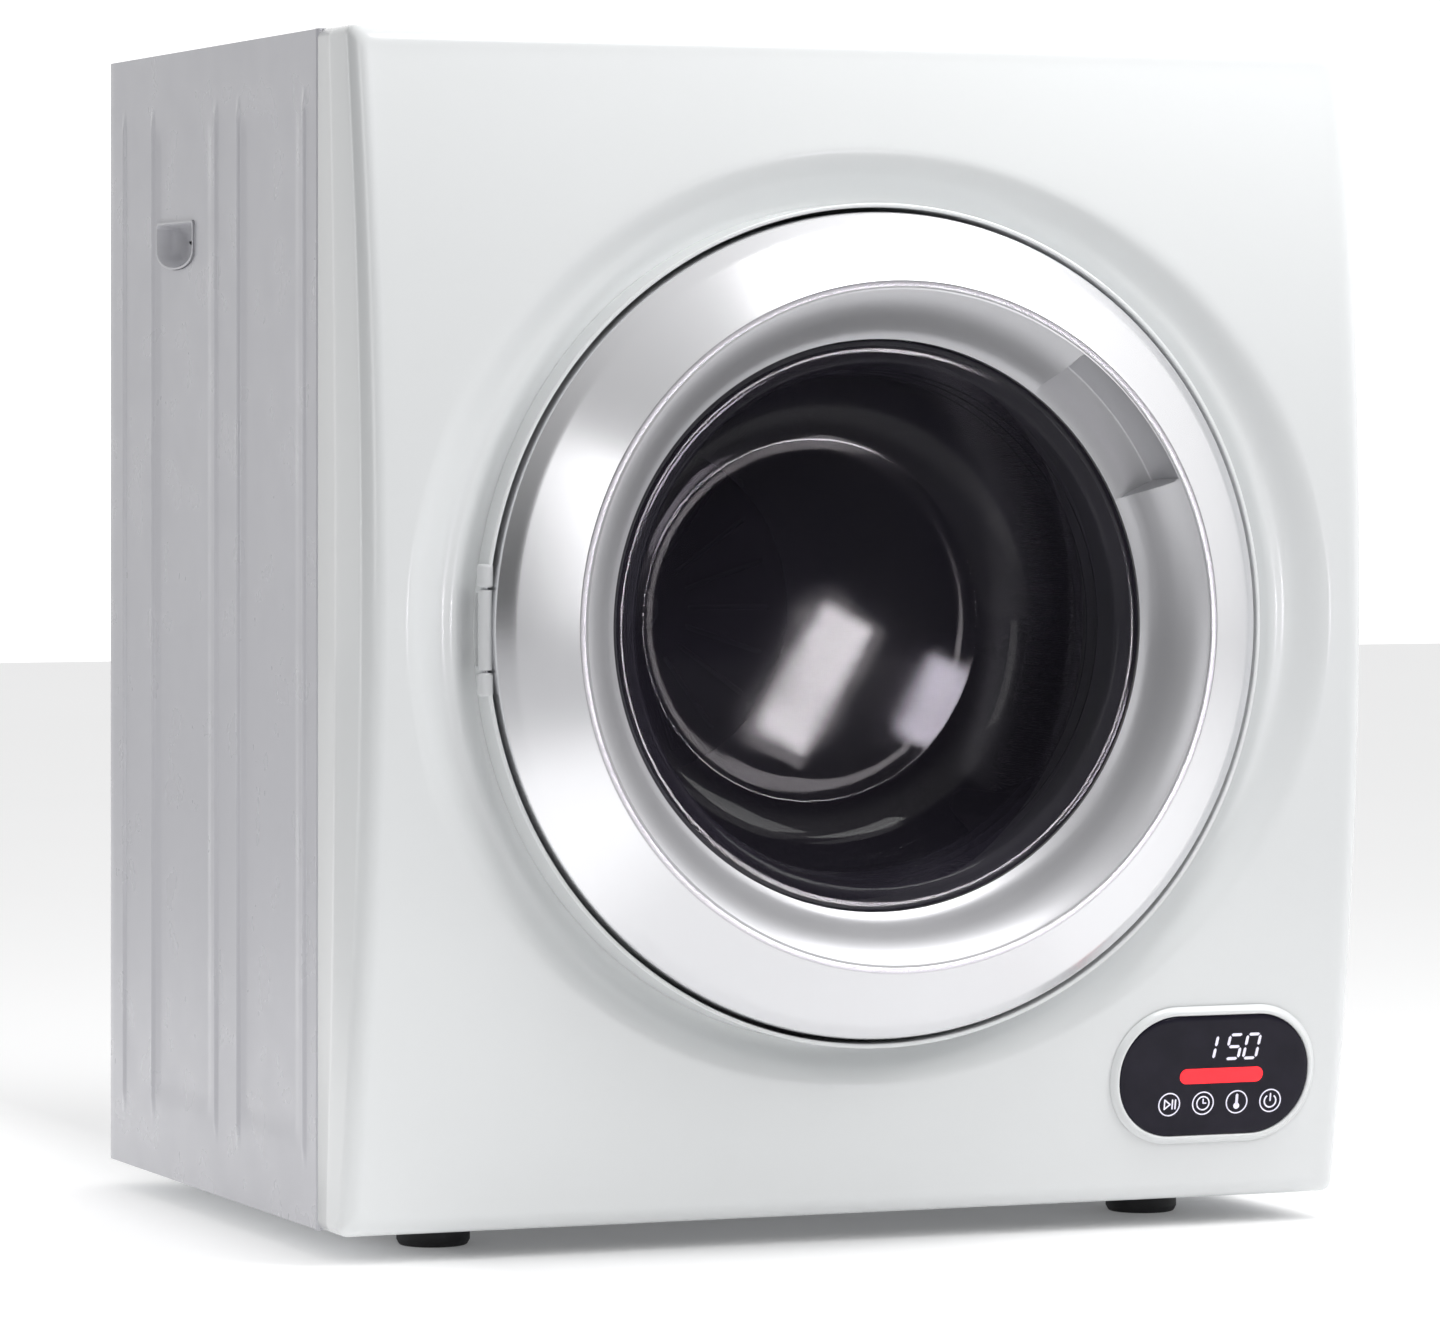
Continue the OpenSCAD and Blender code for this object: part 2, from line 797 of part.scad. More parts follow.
// Grey funnel from the crest down to the glass, with the finger pocket of the door pull
module door_inner_ring() {
  crest = crest_r - 2.5;
  floor_y = -84;
  color("darkgray") in_body() {
    difference() {
      turned() polygon([
        [crest, -crest_d + 0.5], [glass_r + 0.5, -81.6], [glass_r + 0.5, -76],
        [glass_r + 4, -76], [crest, -106]
      ]);
      sector(pocket_angles[0], pocket_angles[1], -130, -70) ring(167, crest - 2, -130, floor_y);
    }
    sector(pocket_angles[0] - 1, pocket_angles[1] + 1, -120, -70)
      turned() polygon([
        [166, -80], [202, -80], [202, -101], [200, -101], [200, floor_y + 1], [166, floor_y + 1]
      ]);
  }
}

module door_glass() {
  wall = 4;
  lip = 150;
  end = glass_y + bowl_depth;
  color("#403848", 0.5) in_body() turned() polygon(concat(
    [[glass_r, glass_y], [glass_r, glass_y + wall], [lip, glass_y + wall]],
    arc(lip - 26 - 10, end - 36, 36, 12, 78, 6),
    [[0, end], [0, end - wall]],
    arc(lip - 26 - 10, end - 36, 36 - wall, 78, 12, 6),
    [[lip - wall - 2, glass_y]]
  ));
}

module door_back_frame() {
  color("white") in_body() difference() {
    turned() polygon([
      [157, -76], [160, -76], [160, door_back - 3], [frame_r - 3, door_back - 3], [frame_r - 3, -62],
      [ring_r - 3, -62], [ring_r - 3, -59.5], [frame_r, -59.5], [frame_r, door_back], [157, door_back]
    ]);
    block([-240, -80, drum_z - 13], [-226, -60, drum_z + 13]);
  }
}

module door_hinge_arm() {
  color("gray") in_body() difference() {
    union() {
      hinge_axis_bar(barrel_r, barrel_h);
      block([hinge_x, hinge_y + 1, drum_z - 12.5], [-frame_r + 3.5, hinge_y + 4, drum_z + 12.5]);
      block([-frame_r + 3.2, hinge_y + 1, drum_z - 12.5], [-frame_r + 6, door_back - 3, drum_z + 12.5]);
    }
    hinge_axis_bar(pin_r + pin_play, barrel_h + 10);
    turned() polygon([[frame_r - 3, -62], [frame_r + 20, -62], [frame_r + 20, 0], [frame_r - 3, 0]]);
  }
}

module hinge_pin() {
  color("silver") in_body() hinge_axis_bar(pin_r, hinge_h - 2);
}

module hinge_bracket() {
  color("gray") in_body() difference() {
    union() {
      for (s = [-1, 1]) translate([hinge_x, hinge_y, drum_z + s * (barrel_h / 2 + 1 + 6.5) - 6.5])
        cylinder(r = ear_r, h = 13);
      for (s = [-1, 1]) translate([0, 0, drum_z + s * (barrel_h / 2 + 1 + 6.5)])
        block([-241, hinge_y, -6.5], [-237.8, -50, 6.5]);
      block([-243.5, -51.8, drum_z - hinge_h / 2], [-237.8, -28, drum_z + hinge_h / 2]);
    }
    hinge_axis_bar(pin_r, hinge_h + 10);
  }
}

module door_striker() {
  color("white") in_body() {
    block([200, door_back + 1, drum_z - 6], [206, -13, drum_z + 6]);
    block([196, door_back, drum_z - 12], [212, door_back + 2.5, drum_z + 12]);
  }
}

module latch_catch() {
  color("#333333") in_body() difference() {
    block([192, well_y + well_t, drum_z - 16], [218, -4, drum_z + 16]);
    block([196, well_y, drum_z - 8.5], [212, -6, drum_z + 8.5]);
  }
}

module door_gasket() {
  color("#444444") in_body() ring(179, 191, door_back + 0.4, well_y);
}

// ---- control panel ----

// A flat outline laid on the sloping lower front, from depth y0 to y1 behind its face
module on_panel(y0, y1) {
  translate([panel_x, panel_face, panel_z]) rotate([panel_tilt, 0, 0]) slab(y0, y1) children();
}

module control_trim() {
  color("white") in_body() on_panel(-3.4, -0.3) difference() {
    rounded(trim_w, trim_h, trim_corner);
    rounded(window_w + 0.3, window_h + 0.3, window_corner);
  }
}

module control_window() {
  color("#0c0a12") in_body() {
    on_panel(-3, -0.3) rounded(window_w, window_h, window_corner);
    on_panel(-0.4, 2.8) rounded(window_w - 6.4, window_h - 6.4, window_corner - 3.2);
  }
}

module control_board() {
  color("darkgreen") in_body() {
    on_panel(8, 9.6) square([96, 50], center = true);
    on_panel(3, 8.1) translate([22, 8]) square([50, 24], center = true);
    on_panel(2.9, 8.1) for (x = [-40, 40], z = [-20, 20]) translate([x, z]) circle(3);
  }
}

// One upright seven-segment figure, from the list of its lit bars
module figure(bars) {
  w = 8.6;
  h = 14.1;
  t = 1.5;
  places = [
    [w / 2, h, 0], [w, h * 0.75, 90], [w, h / 4, 90], [w / 2, 0, 0],
    [0, h / 4, 90], [0, h * 0.75, 90], [w / 2, h / 2, 0]
  ];
  for (b = bars) translate([places[b][0], places[b][1]]) rotate(places[b][2])
    square([(places[b][2] == 0 ? w : h / 2) - 2, t], center = true);
}

module control_marks() {
  color("white") in_body() {
    on_panel(-3.3, -3) {
      translate([-9.8, 9.6]) figure([1, 2]);
      translate([6.1, 9.6]) figure([0, 5, 6, 2, 3]);
      translate([17.4, 9.6]) figure([0, 1, 2, 3, 4, 5]);
      translate([4.4, -0.2]) rounded(53, 8.9, 4.2);
      for (i = [0 : 3]) translate([-27.7 + i * 21.6, -16.4]) difference() {
        circle(7);
        circle(6.1);
      }
      for (i = [0 : 3]) translate([-27.7 + i * 21.6, -16.4]) circle(2.2);
    }
  }
}

// ---- back fittings ----

module cord_gland() {
  color("#222222") in_body() difference() {
    union() {
      bar(gland_x, gland_z, 9, panel_y - 6, panel_y + sheet);
      bar(gland_x, gland_z, 13, panel_y + sheet, panel_y + sheet + 8);
    }
    bar(gland_x, gland_z, 4.5, panel_y - 10, panel_y + 20);
  }
}

module terminal_cover() {
  color("#333333") in_body() difference() {
    block([-265, panel_y - 34, 90], [-215, panel_y - 0.2, 150]);
    block([-263, panel_y - 32, 92], [-217, panel_y + 1, 148]);
  }
}

left_side_panel();
right_side_panel();
top_cover();
rear_panel();
base_pan();
front_fascia();
front_bulkhead();
rear_bulkhead();
air_channel_ring();
heater_box();
ptc_heater();
thermal_cutouts();
felt_seal_front();
felt_seal_rear();
shaft_bearing();
rear_air_duct();
blower_housing();
exhaust_spigot();
drum_belt();
motor_body();
motor_bracket();
idler_bracket();
idler_spring();
capacitor();
hinge_bracket();
hinge_pin();
latch_catch();
door_gasket();
control_trim();
control_window();
control_board();
control_marks();
side_grip_left();
side_grip_right();
cord_gland();
terminal_cover();
feet();
cabinet_screws();
drum_shell();
drum_front_ring();
drum_rear_wall();
drum_hub();
drum_shaft();
lifter_1();
lifter_2();
lifter_3();
lint_filter_cover();
lint_screen();
motor_shaft();
motor_pulley();
blower_wheel();
idler_arm();
idler_axle();
idler_pulley();
door_outer_ring();
door_inner_ring();
door_glass();
door_back_frame();
door_hinge_arm();
door_striker();
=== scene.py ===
"""Looks of a compact clothes dryer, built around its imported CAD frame.

Lengths inside the helpers are millimetres: X across, Y depth behind the seam of the front panel, Z above
the underside of the cabinet. at() turns such a point into metres in the shared frame.
"""
import json
import math

import bmesh
import bpy
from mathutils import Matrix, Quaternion, Vector


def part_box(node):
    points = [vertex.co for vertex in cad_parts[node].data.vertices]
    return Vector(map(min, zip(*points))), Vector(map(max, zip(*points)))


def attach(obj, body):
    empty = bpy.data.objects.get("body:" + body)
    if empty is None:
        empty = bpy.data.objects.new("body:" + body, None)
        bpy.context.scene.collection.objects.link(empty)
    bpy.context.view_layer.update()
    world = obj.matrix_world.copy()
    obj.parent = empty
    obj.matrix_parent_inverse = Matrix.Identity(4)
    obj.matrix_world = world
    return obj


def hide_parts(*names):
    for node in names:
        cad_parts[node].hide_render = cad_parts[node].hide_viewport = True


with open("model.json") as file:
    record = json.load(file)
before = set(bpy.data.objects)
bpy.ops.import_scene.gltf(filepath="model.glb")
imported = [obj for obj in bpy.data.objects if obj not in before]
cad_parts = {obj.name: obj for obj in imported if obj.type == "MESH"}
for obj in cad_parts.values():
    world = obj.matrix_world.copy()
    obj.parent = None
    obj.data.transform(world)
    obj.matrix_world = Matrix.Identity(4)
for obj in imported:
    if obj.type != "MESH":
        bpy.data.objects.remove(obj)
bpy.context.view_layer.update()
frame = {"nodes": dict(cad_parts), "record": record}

MM = 0.001
side_low, side_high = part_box("left_side_panel")
ring_low, ring_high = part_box("door_outer_ring")
fascia_low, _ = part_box("front_fascia")
trim_low, trim_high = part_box("control_trim")
grip_low, grip_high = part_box("side_grip_left")
SEAM = side_low.y
BASE = side_low.z
HALF_W = -side_low.x / MM
HEIGHT = (side_high.z - side_low.z) / MM
DEPTH = (side_high.y - side_low.y) / MM
AXIS_Z = ((ring_low.z + ring_high.z) / 2 - BASE) / MM
RING_R = ring_high.x / MM
CROWN_R = 1680.0
CROWN_Z = 365.0
CROWN_D = (SEAM - fascia_low.y) / MM
COLLAR_R = 237.5
SIDE_X = HALF_W - 1.5


def at(x, y, z):
    """A point in metres in the shared frame."""
    return Vector((x * MM, SEAM + y * MM, BASE + z * MM))


def clamp(v, low=0.0, high=1.0):
    return max(low, min(high, v))


def smooth(v, low, high):
    """0 below low, 1 above high, and an S-curve between."""
    t = clamp((v - low) / (high - low))
    return t * t * (3 - 2 * t)


def mix(a, b, t):
    return a + (b - a) * t


# ---- materials ----

class Nodes:
    """A short way to write a node tree: each call adds a node, sets its sockets and gives the node back."""

    def __init__(self, name):
        self.material = bpy.data.materials.new(name)
        self.material.use_nodes = True
        self.tree = self.material.node_tree
        self.tree.nodes.clear()
        self.output = self.add("ShaderNodeOutputMaterial")

    def add(self, kind, **values):
        node = self.tree.nodes.new(kind)
        sockets = values.pop("sockets", {})
        for key, value in values.items():
            setattr(node, key, value)
        for key, value in sockets.items():
            target = node.inputs[key]
            if isinstance(value, bpy.types.NodeSocket):
                self.tree.links.new(value, target)
            else:
                target.default_value = value
        return node

    def coords(self, scale=(1, 1, 1)):
        where = self.add("ShaderNodeTexCoord")
        mapping = self.add("ShaderNodeMapping", sockets={"Vector": where.outputs["Object"], "Scale": scale})
        return mapping.outputs["Vector"]

    def noise(self, scale, detail=3.0, rough=0.5, stretch=(1, 1, 1)):
        node = self.add("ShaderNodeTexNoise", sockets={
            "Vector": self.coords(stretch), "Scale": scale, "Detail": detail, "Roughness": rough})
        return node.outputs["Fac"]

    def ramp(self, fac, stops):
        node = self.add("ShaderNodeValToRGB", sockets={"Fac": fac})
        elements = node.color_ramp.elements
        while len(elements) < len(stops):
            elements.new(0.5)
        for element, (place, colour) in zip(elements, stops):
            element.position = place
            element.color = (*colour, 1)
        return node.outputs["Color"]

    def spread(self, fac, low, high):
        """A 0..1 pattern turned into a value between low and high."""
        node = self.add("ShaderNodeMapRange", sockets={
            "Value": fac, "From Min": 0.3, "From Max": 0.7, "To Min": low, "To Max": high})
        return node.outputs["Result"]

    def bump(self, height, strength, distance):
        node = self.add("ShaderNodeBump", sockets={
            "Strength": strength, "Distance": distance, "Height": height})
        return node.outputs["Normal"]

    def surface(self, **sockets):
        """Ends the tree in a principled shader; Base_Color stands for the socket "Base Color", and so on."""
        named = {key.replace("_", " "): value for key, value in sockets.items()}
        shader = self.add("ShaderNodeBsdfPrincipled", sockets=named)
        self.tree.links.new(shader.outputs["BSDF"], self.output.inputs["Surface"])


def tone(colour, factor):
    """A colour made lighter or darker."""
    return tuple(clamp(c * factor, 0, 1) for c in colour)


def two_tone(n, colour, change, scale, detail=3.0):
    """A colour that drifts softly between a darker and a lighter tone of itself."""
    stops = [(0.3, tone(colour, 1 - change)), (0.7, tone(colour, 1 + change))]
    return n.ramp(n.noise(scale, detail), stops)


def moulded(name, colour, rough=0.3, coat=0.0, grain=0.15, grain_scale=900.0):
    """Injection-moulded plastic: faint flow marks, a fine grain and slightly uneven gloss."""
    n = Nodes(name)
    n.surface(
        Base_Color=two_tone(n, colour, 0.008, 4.0, 1.0),
        Roughness=n.spread(n.noise(5.0, 1.0), rough - 0.02, rough + 0.03),
        Coat_Weight=coat, Coat_Roughness=0.08,
        Normal=n.bump(n.noise(grain_scale, 2.0), grain, 0.00004))
    return n.material


def painted(name, colour, rough=0.42):
    """Powder-coated sheet with a fine orange-peel skin."""
    n = Nodes(name)
    peel = n.noise(420.0, 2.0, 0.4)
    n.surface(
        Base_Color=two_tone(n, colour, 0.02, 5.0),
        Roughness=n.spread(n.noise(30.0, 3.0), rough - 0.05, rough + 0.06),
        Coat_Weight=0.15, Coat_Roughness=0.25,
        Normal=n.bump(peel, 0.25, 0.00008))
    return n.material


def brushed(name, colour, rough=0.3, stretch=(1, 60, 60)):
    """Metal with long fine brush lines along one axis."""
    n = Nodes(name)
    lines = n.noise(60.0, 5.0, 0.7, stretch)
    n.surface(
        Base_Color=n.ramp(lines, [(0.25, tone(colour, 0.90)), (0.75, tone(colour, 1.08))]),
        Metallic=1.0,
        Roughness=n.spread(lines, rough - 0.07, rough + 0.09),
        Normal=n.bump(lines, 0.12, 0.00005))
    return n.material


def satin(name, colour, rough=0.24, metallic=0.85):
    """Satin metallic paint: very fine flake, a faint drift in gloss."""
    n = Nodes(name)
    flake = n.noise(2600.0, 2.0, 0.6)
    n.surface(
        Base_Color=n.ramp(flake, [(0.3, tone(colour, 0.97)), (0.7, tone(colour, 1.03))]),
        Metallic=metallic,
        Roughness=n.spread(n.noise(12.0, 3.0), rough - 0.02, rough + 0.03),
        Normal=n.bump(flake, 0.06, 0.00002))
    return n.material


def galvanised(name, colour):
    """Zinc sheet with its crystal spangle."""
    n = Nodes(name)
    cells = n.add("ShaderNodeTexVoronoi", sockets={"Vector": n.coords(), "Scale": 85.0})
    grey = n.add("ShaderNodeRGBToBW", sockets={"Color": cells.outputs["Color"]})
    n.surface(
        Base_Color=n.ramp(grey.outputs["Val"], [(0.1, tone(colour, 0.86)), (0.9, tone(colour, 1.1))]),
        Metallic=0.9,
        Roughness=n.spread(grey.outputs["Val"], 0.36, 0.52),
        Normal=n.bump(n.noise(300.0, 3.0), 0.1, 0.00005))
    return n.material


def soft_rubber(name, colour, rough=0.62):
    """Dull rubber with a blotched tone and a fine pebbled skin."""
    n = Nodes(name)
    n.surface(
        Base_Color=two_tone(n, colour, 0.18, 60.0, 5.0),
        Roughness=n.spread(n.noise(80.0, 4.0), rough - 0.08, rough + 0.1),
        Normal=n.bump(n.noise(700.0, 4.0), 0.3, 0.0001))
    return n.material


def woven(name, colour, pitch):
    """Mesh or felt: two crossed wave patterns that darken and dip between the threads."""
    n = Nodes(name)
    across = n.add("ShaderNodeTexWave", bands_direction="X", sockets={
        "Vector": n.coords(), "Scale": pitch, "Distortion": 1.2, "Detail": 2.0, "Detail Scale": 3.0})
    along = n.add("ShaderNodeTexWave", bands_direction="Z", sockets={
        "Vector": n.coords(), "Scale": pitch, "Distortion": 1.2, "Detail": 2.0, "Detail Scale": 3.0})
    weave = n.add("ShaderNodeMath", operation="MULTIPLY", sockets={
        0: across.outputs["Fac"], 1: along.outputs["Fac"]}).outputs["Value"]
    n.surface(
        Base_Color=n.ramp(weave, [(0.0, tone(colour, 0.6)), (0.6, tone(colour, 1.1))]),
        Roughness=n.spread(n.noise(200.0, 4.0), 0.8, 0.95),
        Normal=n.bump(weave, 0.6, 0.0003))
    return n.material


def smoked_bowl(name):
    """Smoked clear plastic of the door bowl, with faint flow marks in its tint and gloss."""
    n = Nodes(name)
    stops = [(0.3, (0.020, 0.018, 0.025)), (0.7, (0.030, 0.027, 0.040))]
    n.surface(
        Base_Color=n.ramp(n.noise(6.0, 2.0), stops),
        Roughness=n.spread(n.noise(14.0, 3.0), 0.01, 0.05),
        Alpha=n.spread(n.noise(5.0, 2.0), 0.50, 0.56),
        Specular_IOR_Level=0.22)
    return n.material


def black_glass(name):
    """Black touch window: glossy, with the faint haze of finger grease."""
    n = Nodes(name)
    haze = n.noise(45.0, 5.0, 0.6)
    n.surface(
        Base_Color=n.ramp(haze, [(0.3, (0.006, 0.005, 0.012)), (0.75, (0.012, 0.010, 0.020))]),
        Roughness=n.spread(haze, 0.04, 0.14),
        Specular_IOR_Level=0.22)
    return n.material


def lit(name, colour, strength, change=0.12):
    """Lit plastic of a display, its glow drifting a little in brightness."""
    n = Nodes(name)
    stops = [(0.25, tone(colour, 1 - change)), (0.75, tone(colour, 1 + change))]
    glow = n.ramp(n.noise(160.0, 2.0), stops)
    n.surface(Base_Color=glow, Emission_Color=glow, Emission_Strength=strength, Roughness=0.4)
    return n.material


MATERIALS = {
    # Painted shade: the side sheet is the same white as the front, but its colour is darkened to stand for
    # the side lying in shade.
    "side_paint": painted("side_paint", (0.54, 0.54, 0.575), 0.30),
    "zinc_sheet": galvanised("zinc_sheet", (0.62, 0.64, 0.66)),
    "white_plastic": moulded("white_plastic", (0.73, 0.745, 0.75), 0.24, 0.3),
    "white_enamel": painted("white_enamel", (0.80, 0.81, 0.82), 0.35),
    "heater_alloy": brushed("heater_alloy", (0.70, 0.70, 0.70), 0.4),
    "tan_plastic": moulded("tan_plastic", (0.42, 0.28, 0.15), 0.5),
    "felt": woven("felt", (0.74, 0.70, 0.60), 260.0),
    "bronze": brushed("bronze", (0.60, 0.42, 0.18), 0.35),
    "grey_plastic": moulded("grey_plastic", (0.30, 0.31, 0.33), 0.45),
    "belt_rubber": soft_rubber("belt_rubber", (0.03, 0.03, 0.03)),
    "motor_paint": painted("motor_paint", (0.05, 0.05, 0.055), 0.4),
    "spring_steel": brushed("spring_steel", (0.55, 0.56, 0.58), 0.28),
    "capacitor_can": brushed("capacitor_can", (0.72, 0.72, 0.74), 0.3, (1, 1, 60)),
    "hinge_alloy": painted("hinge_alloy", (0.62, 0.63, 0.64), 0.35),
    "black_plastic": moulded("black_plastic", (0.022, 0.022, 0.024), 0.4, 0.0, 0.3, 500.0),
    "seal_rubber": soft_rubber("seal_rubber", (0.06, 0.06, 0.065), 0.5),
    "black_glass": black_glass("black_glass"),
    "circuit_board": moulded("circuit_board", (0.03, 0.16, 0.07), 0.4, 0.0, 0.5, 260.0),
    "led_light": lit("led_light", (0.62, 0.60, 0.70), 0.55),
    "grip_plastic": moulded("grip_plastic", (0.62, 0.62, 0.65), 0.4),
    "foot_rubber": soft_rubber("foot_rubber", (0.018, 0.018, 0.020)),
    "screw_steel": brushed("screw_steel", (0.60, 0.60, 0.62), 0.3),
    "drum_steel": brushed("drum_steel", (0.66, 0.65, 0.68), 0.24, (60, 1, 60)),
    "lifter_plastic": moulded("lifter_plastic", (0.06, 0.055, 0.065), 0.3),
    "filter_mesh": woven("filter_mesh", (0.22, 0.22, 0.23), 420.0),
    "silver_trim": satin("silver_trim", (0.76, 0.76, 0.78)),
    "grey_trim": satin("grey_trim", (0.56, 0.56, 0.58), 0.38, 0.55),
    "smoked_glass": smoked_bowl("smoked_glass"),
}
RED_LIGHT = lit("red_light", (0.95, 0.012, 0.022), 0.85, 0.06)

slots = {part["node"]: part["material_slot"] for part in frame["record"]["subparts"]}
for node_name, node in frame["nodes"].items():
    node.data.materials.clear()
    node.data.materials.append(MATERIALS[slots[node_name]])


# ---- mesh helpers ----

def piece(name, verts, faces, slot, body, stands_for=(), sharp=32.0, material=None):
    """A mesh from points in metres, cleaned, smooth but for its real edges, and tied to its body."""
    mesh = bpy.data.meshes.new(name)
    mesh.from_pydata([tuple(v) for v in verts], [], faces)
    work = bmesh.new()
    work.from_mesh(mesh)
    bmesh.ops.remove_doubles(work, verts=work.verts, dist=2e-6)
    bmesh.ops.dissolve_degenerate(work, edges=work.edges, dist=1e-6)
    bmesh.ops.recalc_face_normals(work, faces=work.faces)
    work.to_mesh(mesh)
    work.free()
    mesh.shade_smooth()
    mesh.set_sharp_from_angle(angle=math.radians(sharp))
    obj = bpy.data.objects.new(name, mesh)
    bpy.context.scene.collection.objects.link(obj)
    mesh.materials.append(material or MATERIALS[slot])
    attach(obj, body)
    if stands_for:
        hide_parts(*stands_for)
    return obj


def strips(rows, closed_rows=False, closed_columns=True):
    """Points and quads of a grid given as rows of points."""
    count = len(rows[0])
    verts = [p for row in rows for p in row]
    faces = []
    for i in range(len(rows) if closed_rows else len(rows) - 1):
        a, b = i * count, ((i + 1) % len(rows)) * count
        for j in range(count if closed_columns else count - 1):
            k = (j + 1) % count
            faces.append((a + j, a + k, b + k, b + j))
    return verts, faces


def rounded(points, steps=5):
    """A closed outline from (u, v, radius) corners, each corner rounded by its radius."""
    out = []
    count = len(points)
    for i, (u, v, r) in enumerate(points):
        here = Vector((u, v))
        if r <= 0:
            out.append(here)
            continue
        before = Vector(points[i - 1][:2]) - here
        after = Vector(points[(i + 1) % count][:2]) - here
        angle = before.angle(after)
        cut = min(r / math.tan(angle / 2), before.length * 0.49, after.length * 0.49)
        r = cut * math.tan(angle / 2)
        centre = here + (before.normalized() + after.normalized()).normalized() * (r / math.sin(angle / 2))
        start = here + before.normalized() * cut - centre
        turn = start.angle_signed(here + after.normalized() * cut - centre)
        for k in range(steps + 1):
            c, s = math.cos(-turn * k / steps), math.sin(-turn * k / steps)
            out.append(centre + Vector((start.x * c - start.y * s, start.x * s + start.y * c)))
    return out


def around(radius, depth, angle):
    """A point at a radius and depth about the drum axis, the angle measured from +X towards +Z."""
    return at(radius * math.cos(angle), depth, AXIS_Z + radius * math.sin(angle))


def lathe(name, outline, slot, body, stands_for=(), segments=240, sharp=32.0):
    """A closed outline of (radius, depth) turned about the drum axis."""
    turns = [2 * math.pi * j / segments for j in range(segments)]
    rows = [[around(r, depth, turn) for turn in turns] for r, depth in outline]
    verts, faces = strips(rows, closed_rows=True)
    return piece(name, verts, faces, slot, body, stands_for, sharp)


def upright(name, outline, place, slot, body, stands_for=(), segments=64, sharp=32.0):
    """A closed outline of (radius, height) turned about a vertical axis at one or more (x, y) places."""
    verts, faces = [], []
    turns = [2 * math.pi * j / segments for j in range(segments)]
    for x, y in place:
        rows = [[at(x + r * math.cos(turn), y + r * math.sin(turn), z) for turn in turns] for r, z in outline]
        more, cells = strips(rows, closed_rows=True)
        faces += [tuple(i + len(verts) for i in cell) for cell in cells]
        verts += more
    return piece(name, verts, faces, slot, body, stands_for, sharp)


def finish_modifiers(obj):
    """Bakes an object's modifiers into its mesh."""
    graph = bpy.context.evaluated_depsgraph_get()
    mesh = bpy.data.meshes.new_from_object(obj.evaluated_get(graph))
    obj.modifiers.clear()
    obj.data = mesh


def thicken(obj, thickness):
    """Gives a skin a wall that grows inwards from it."""
    shell = obj.modifiers.new("shell", "SOLIDIFY")
    shell.thickness = thickness * MM
    shell.offset = -1.0
    shell.use_even_offset = True
    finish_modifiers(obj)


def cut_by(obj, cutter):
    """Takes the cutter's shape out of an object and deletes the cutter."""
    boolean = obj.modifiers.new("cut", "BOOLEAN")
    boolean.operation = "DIFFERENCE"
    boolean.solver = "EXACT"
    boolean.object = cutter
    finish_modifiers(obj)
    bpy.data.objects.remove(cutter)
    obj.data.shade_smooth()
    obj.data.set_sharp_from_angle(angle=math.radians(32))


def loose(name, verts, faces):
    """A helper mesh that is used up and never shown."""
    mesh = bpy.data.meshes.new(name)
    mesh.from_pydata([tuple(v) for v in verts], [], faces)
    work = bmesh.new()
    work.from_mesh(mesh)
    bmesh.ops.remove_doubles(work, verts=work.verts, dist=1e-6)
    bmesh.ops.recalc_face_normals(work, faces=work.faces)
    work.to_mesh(mesh)
    work.free()
    obj = bpy.data.objects.new(name, mesh)
    bpy.context.scene.collection.objects.link(obj)
    return obj


def prism(outline, place, low, high):
    """Closed solid from a flat outline; place(u, v, w) gives a point, w running from low to high."""
    count = len(outline)
    verts = [place(u[0], u[1], w) for w in (low, high) for u in outline]
    faces = [tuple(range(count))[::-1], tuple(range(count, 2 * count))]
    faces += [(i, (i + 1) % count, count + (i + 1) % count, count + i) for i in range(count)]
    return verts, faces


# ---- front panel ----

def crown(z):
    """Depth of the bulging front at a height."""
    return -CROWN_D + (CROWN_R - math.sqrt(CROWN_R ** 2 - (z - CROWN_Z) ** 2))


DISH_DROP, MOAT_DROP = 11.0, 6.0
DISH_EDGE = 281.0
FIELD_STEPS, EDGE_STEPS = 14, 9


def front_depth(x, z):
    """Depth of the front surface with its shallow dish around the door."""
    y = crown(z)
    r = math.hypot(x, z - AXIS_Z)
    lip = 212 - 0.8 * y
    dish = DISH_DROP * (1 - smooth(r, lip - 20.0, lip + 5.5))
    moat = MOAT_DROP * (1 - smooth(r, COLLAR_R + 1, COLLAR_R + 15))
    return y + (dish + moat)


def outline_points(inset, radius, spacing=7.0, corner_steps=10):
    """Points round the front panel's outline, the same number for any inset."""
    w, h = HALF_W - inset, HEIGHT / 2 - inset
    r = max(radius - inset, 0.6)
    points = []
    corners = [(w - r, h - r, 0), (-w + r, h - r, 90), (-w + r, -h + r, 180), (w - r, -h + r, 270)]
    for i, (cx, cz, start) in enumerate(corners):
        for k in range(corner_steps + 1):
            a = math.radians(start + 90 * k / corner_steps)
            points.append((cx + r * math.cos(a), HEIGHT / 2 + cz + r * math.sin(a)))
        nx, nz, nstart = corners[(i + 1) % 4]
        a = math.radians(nstart)
        end = (nx + r * math.cos(a), HEIGHT / 2 + nz + r * math.sin(a))
        begin = points[-1]
        full = 2 * (HALF_W if i % 2 == 0 else HEIGHT / 2)
        count = int(full / spacing)
        for k in range(1, count):
            points.append((mix(begin[0], end[0], k / count), mix(begin[1], end[1], k / count)))
    return points


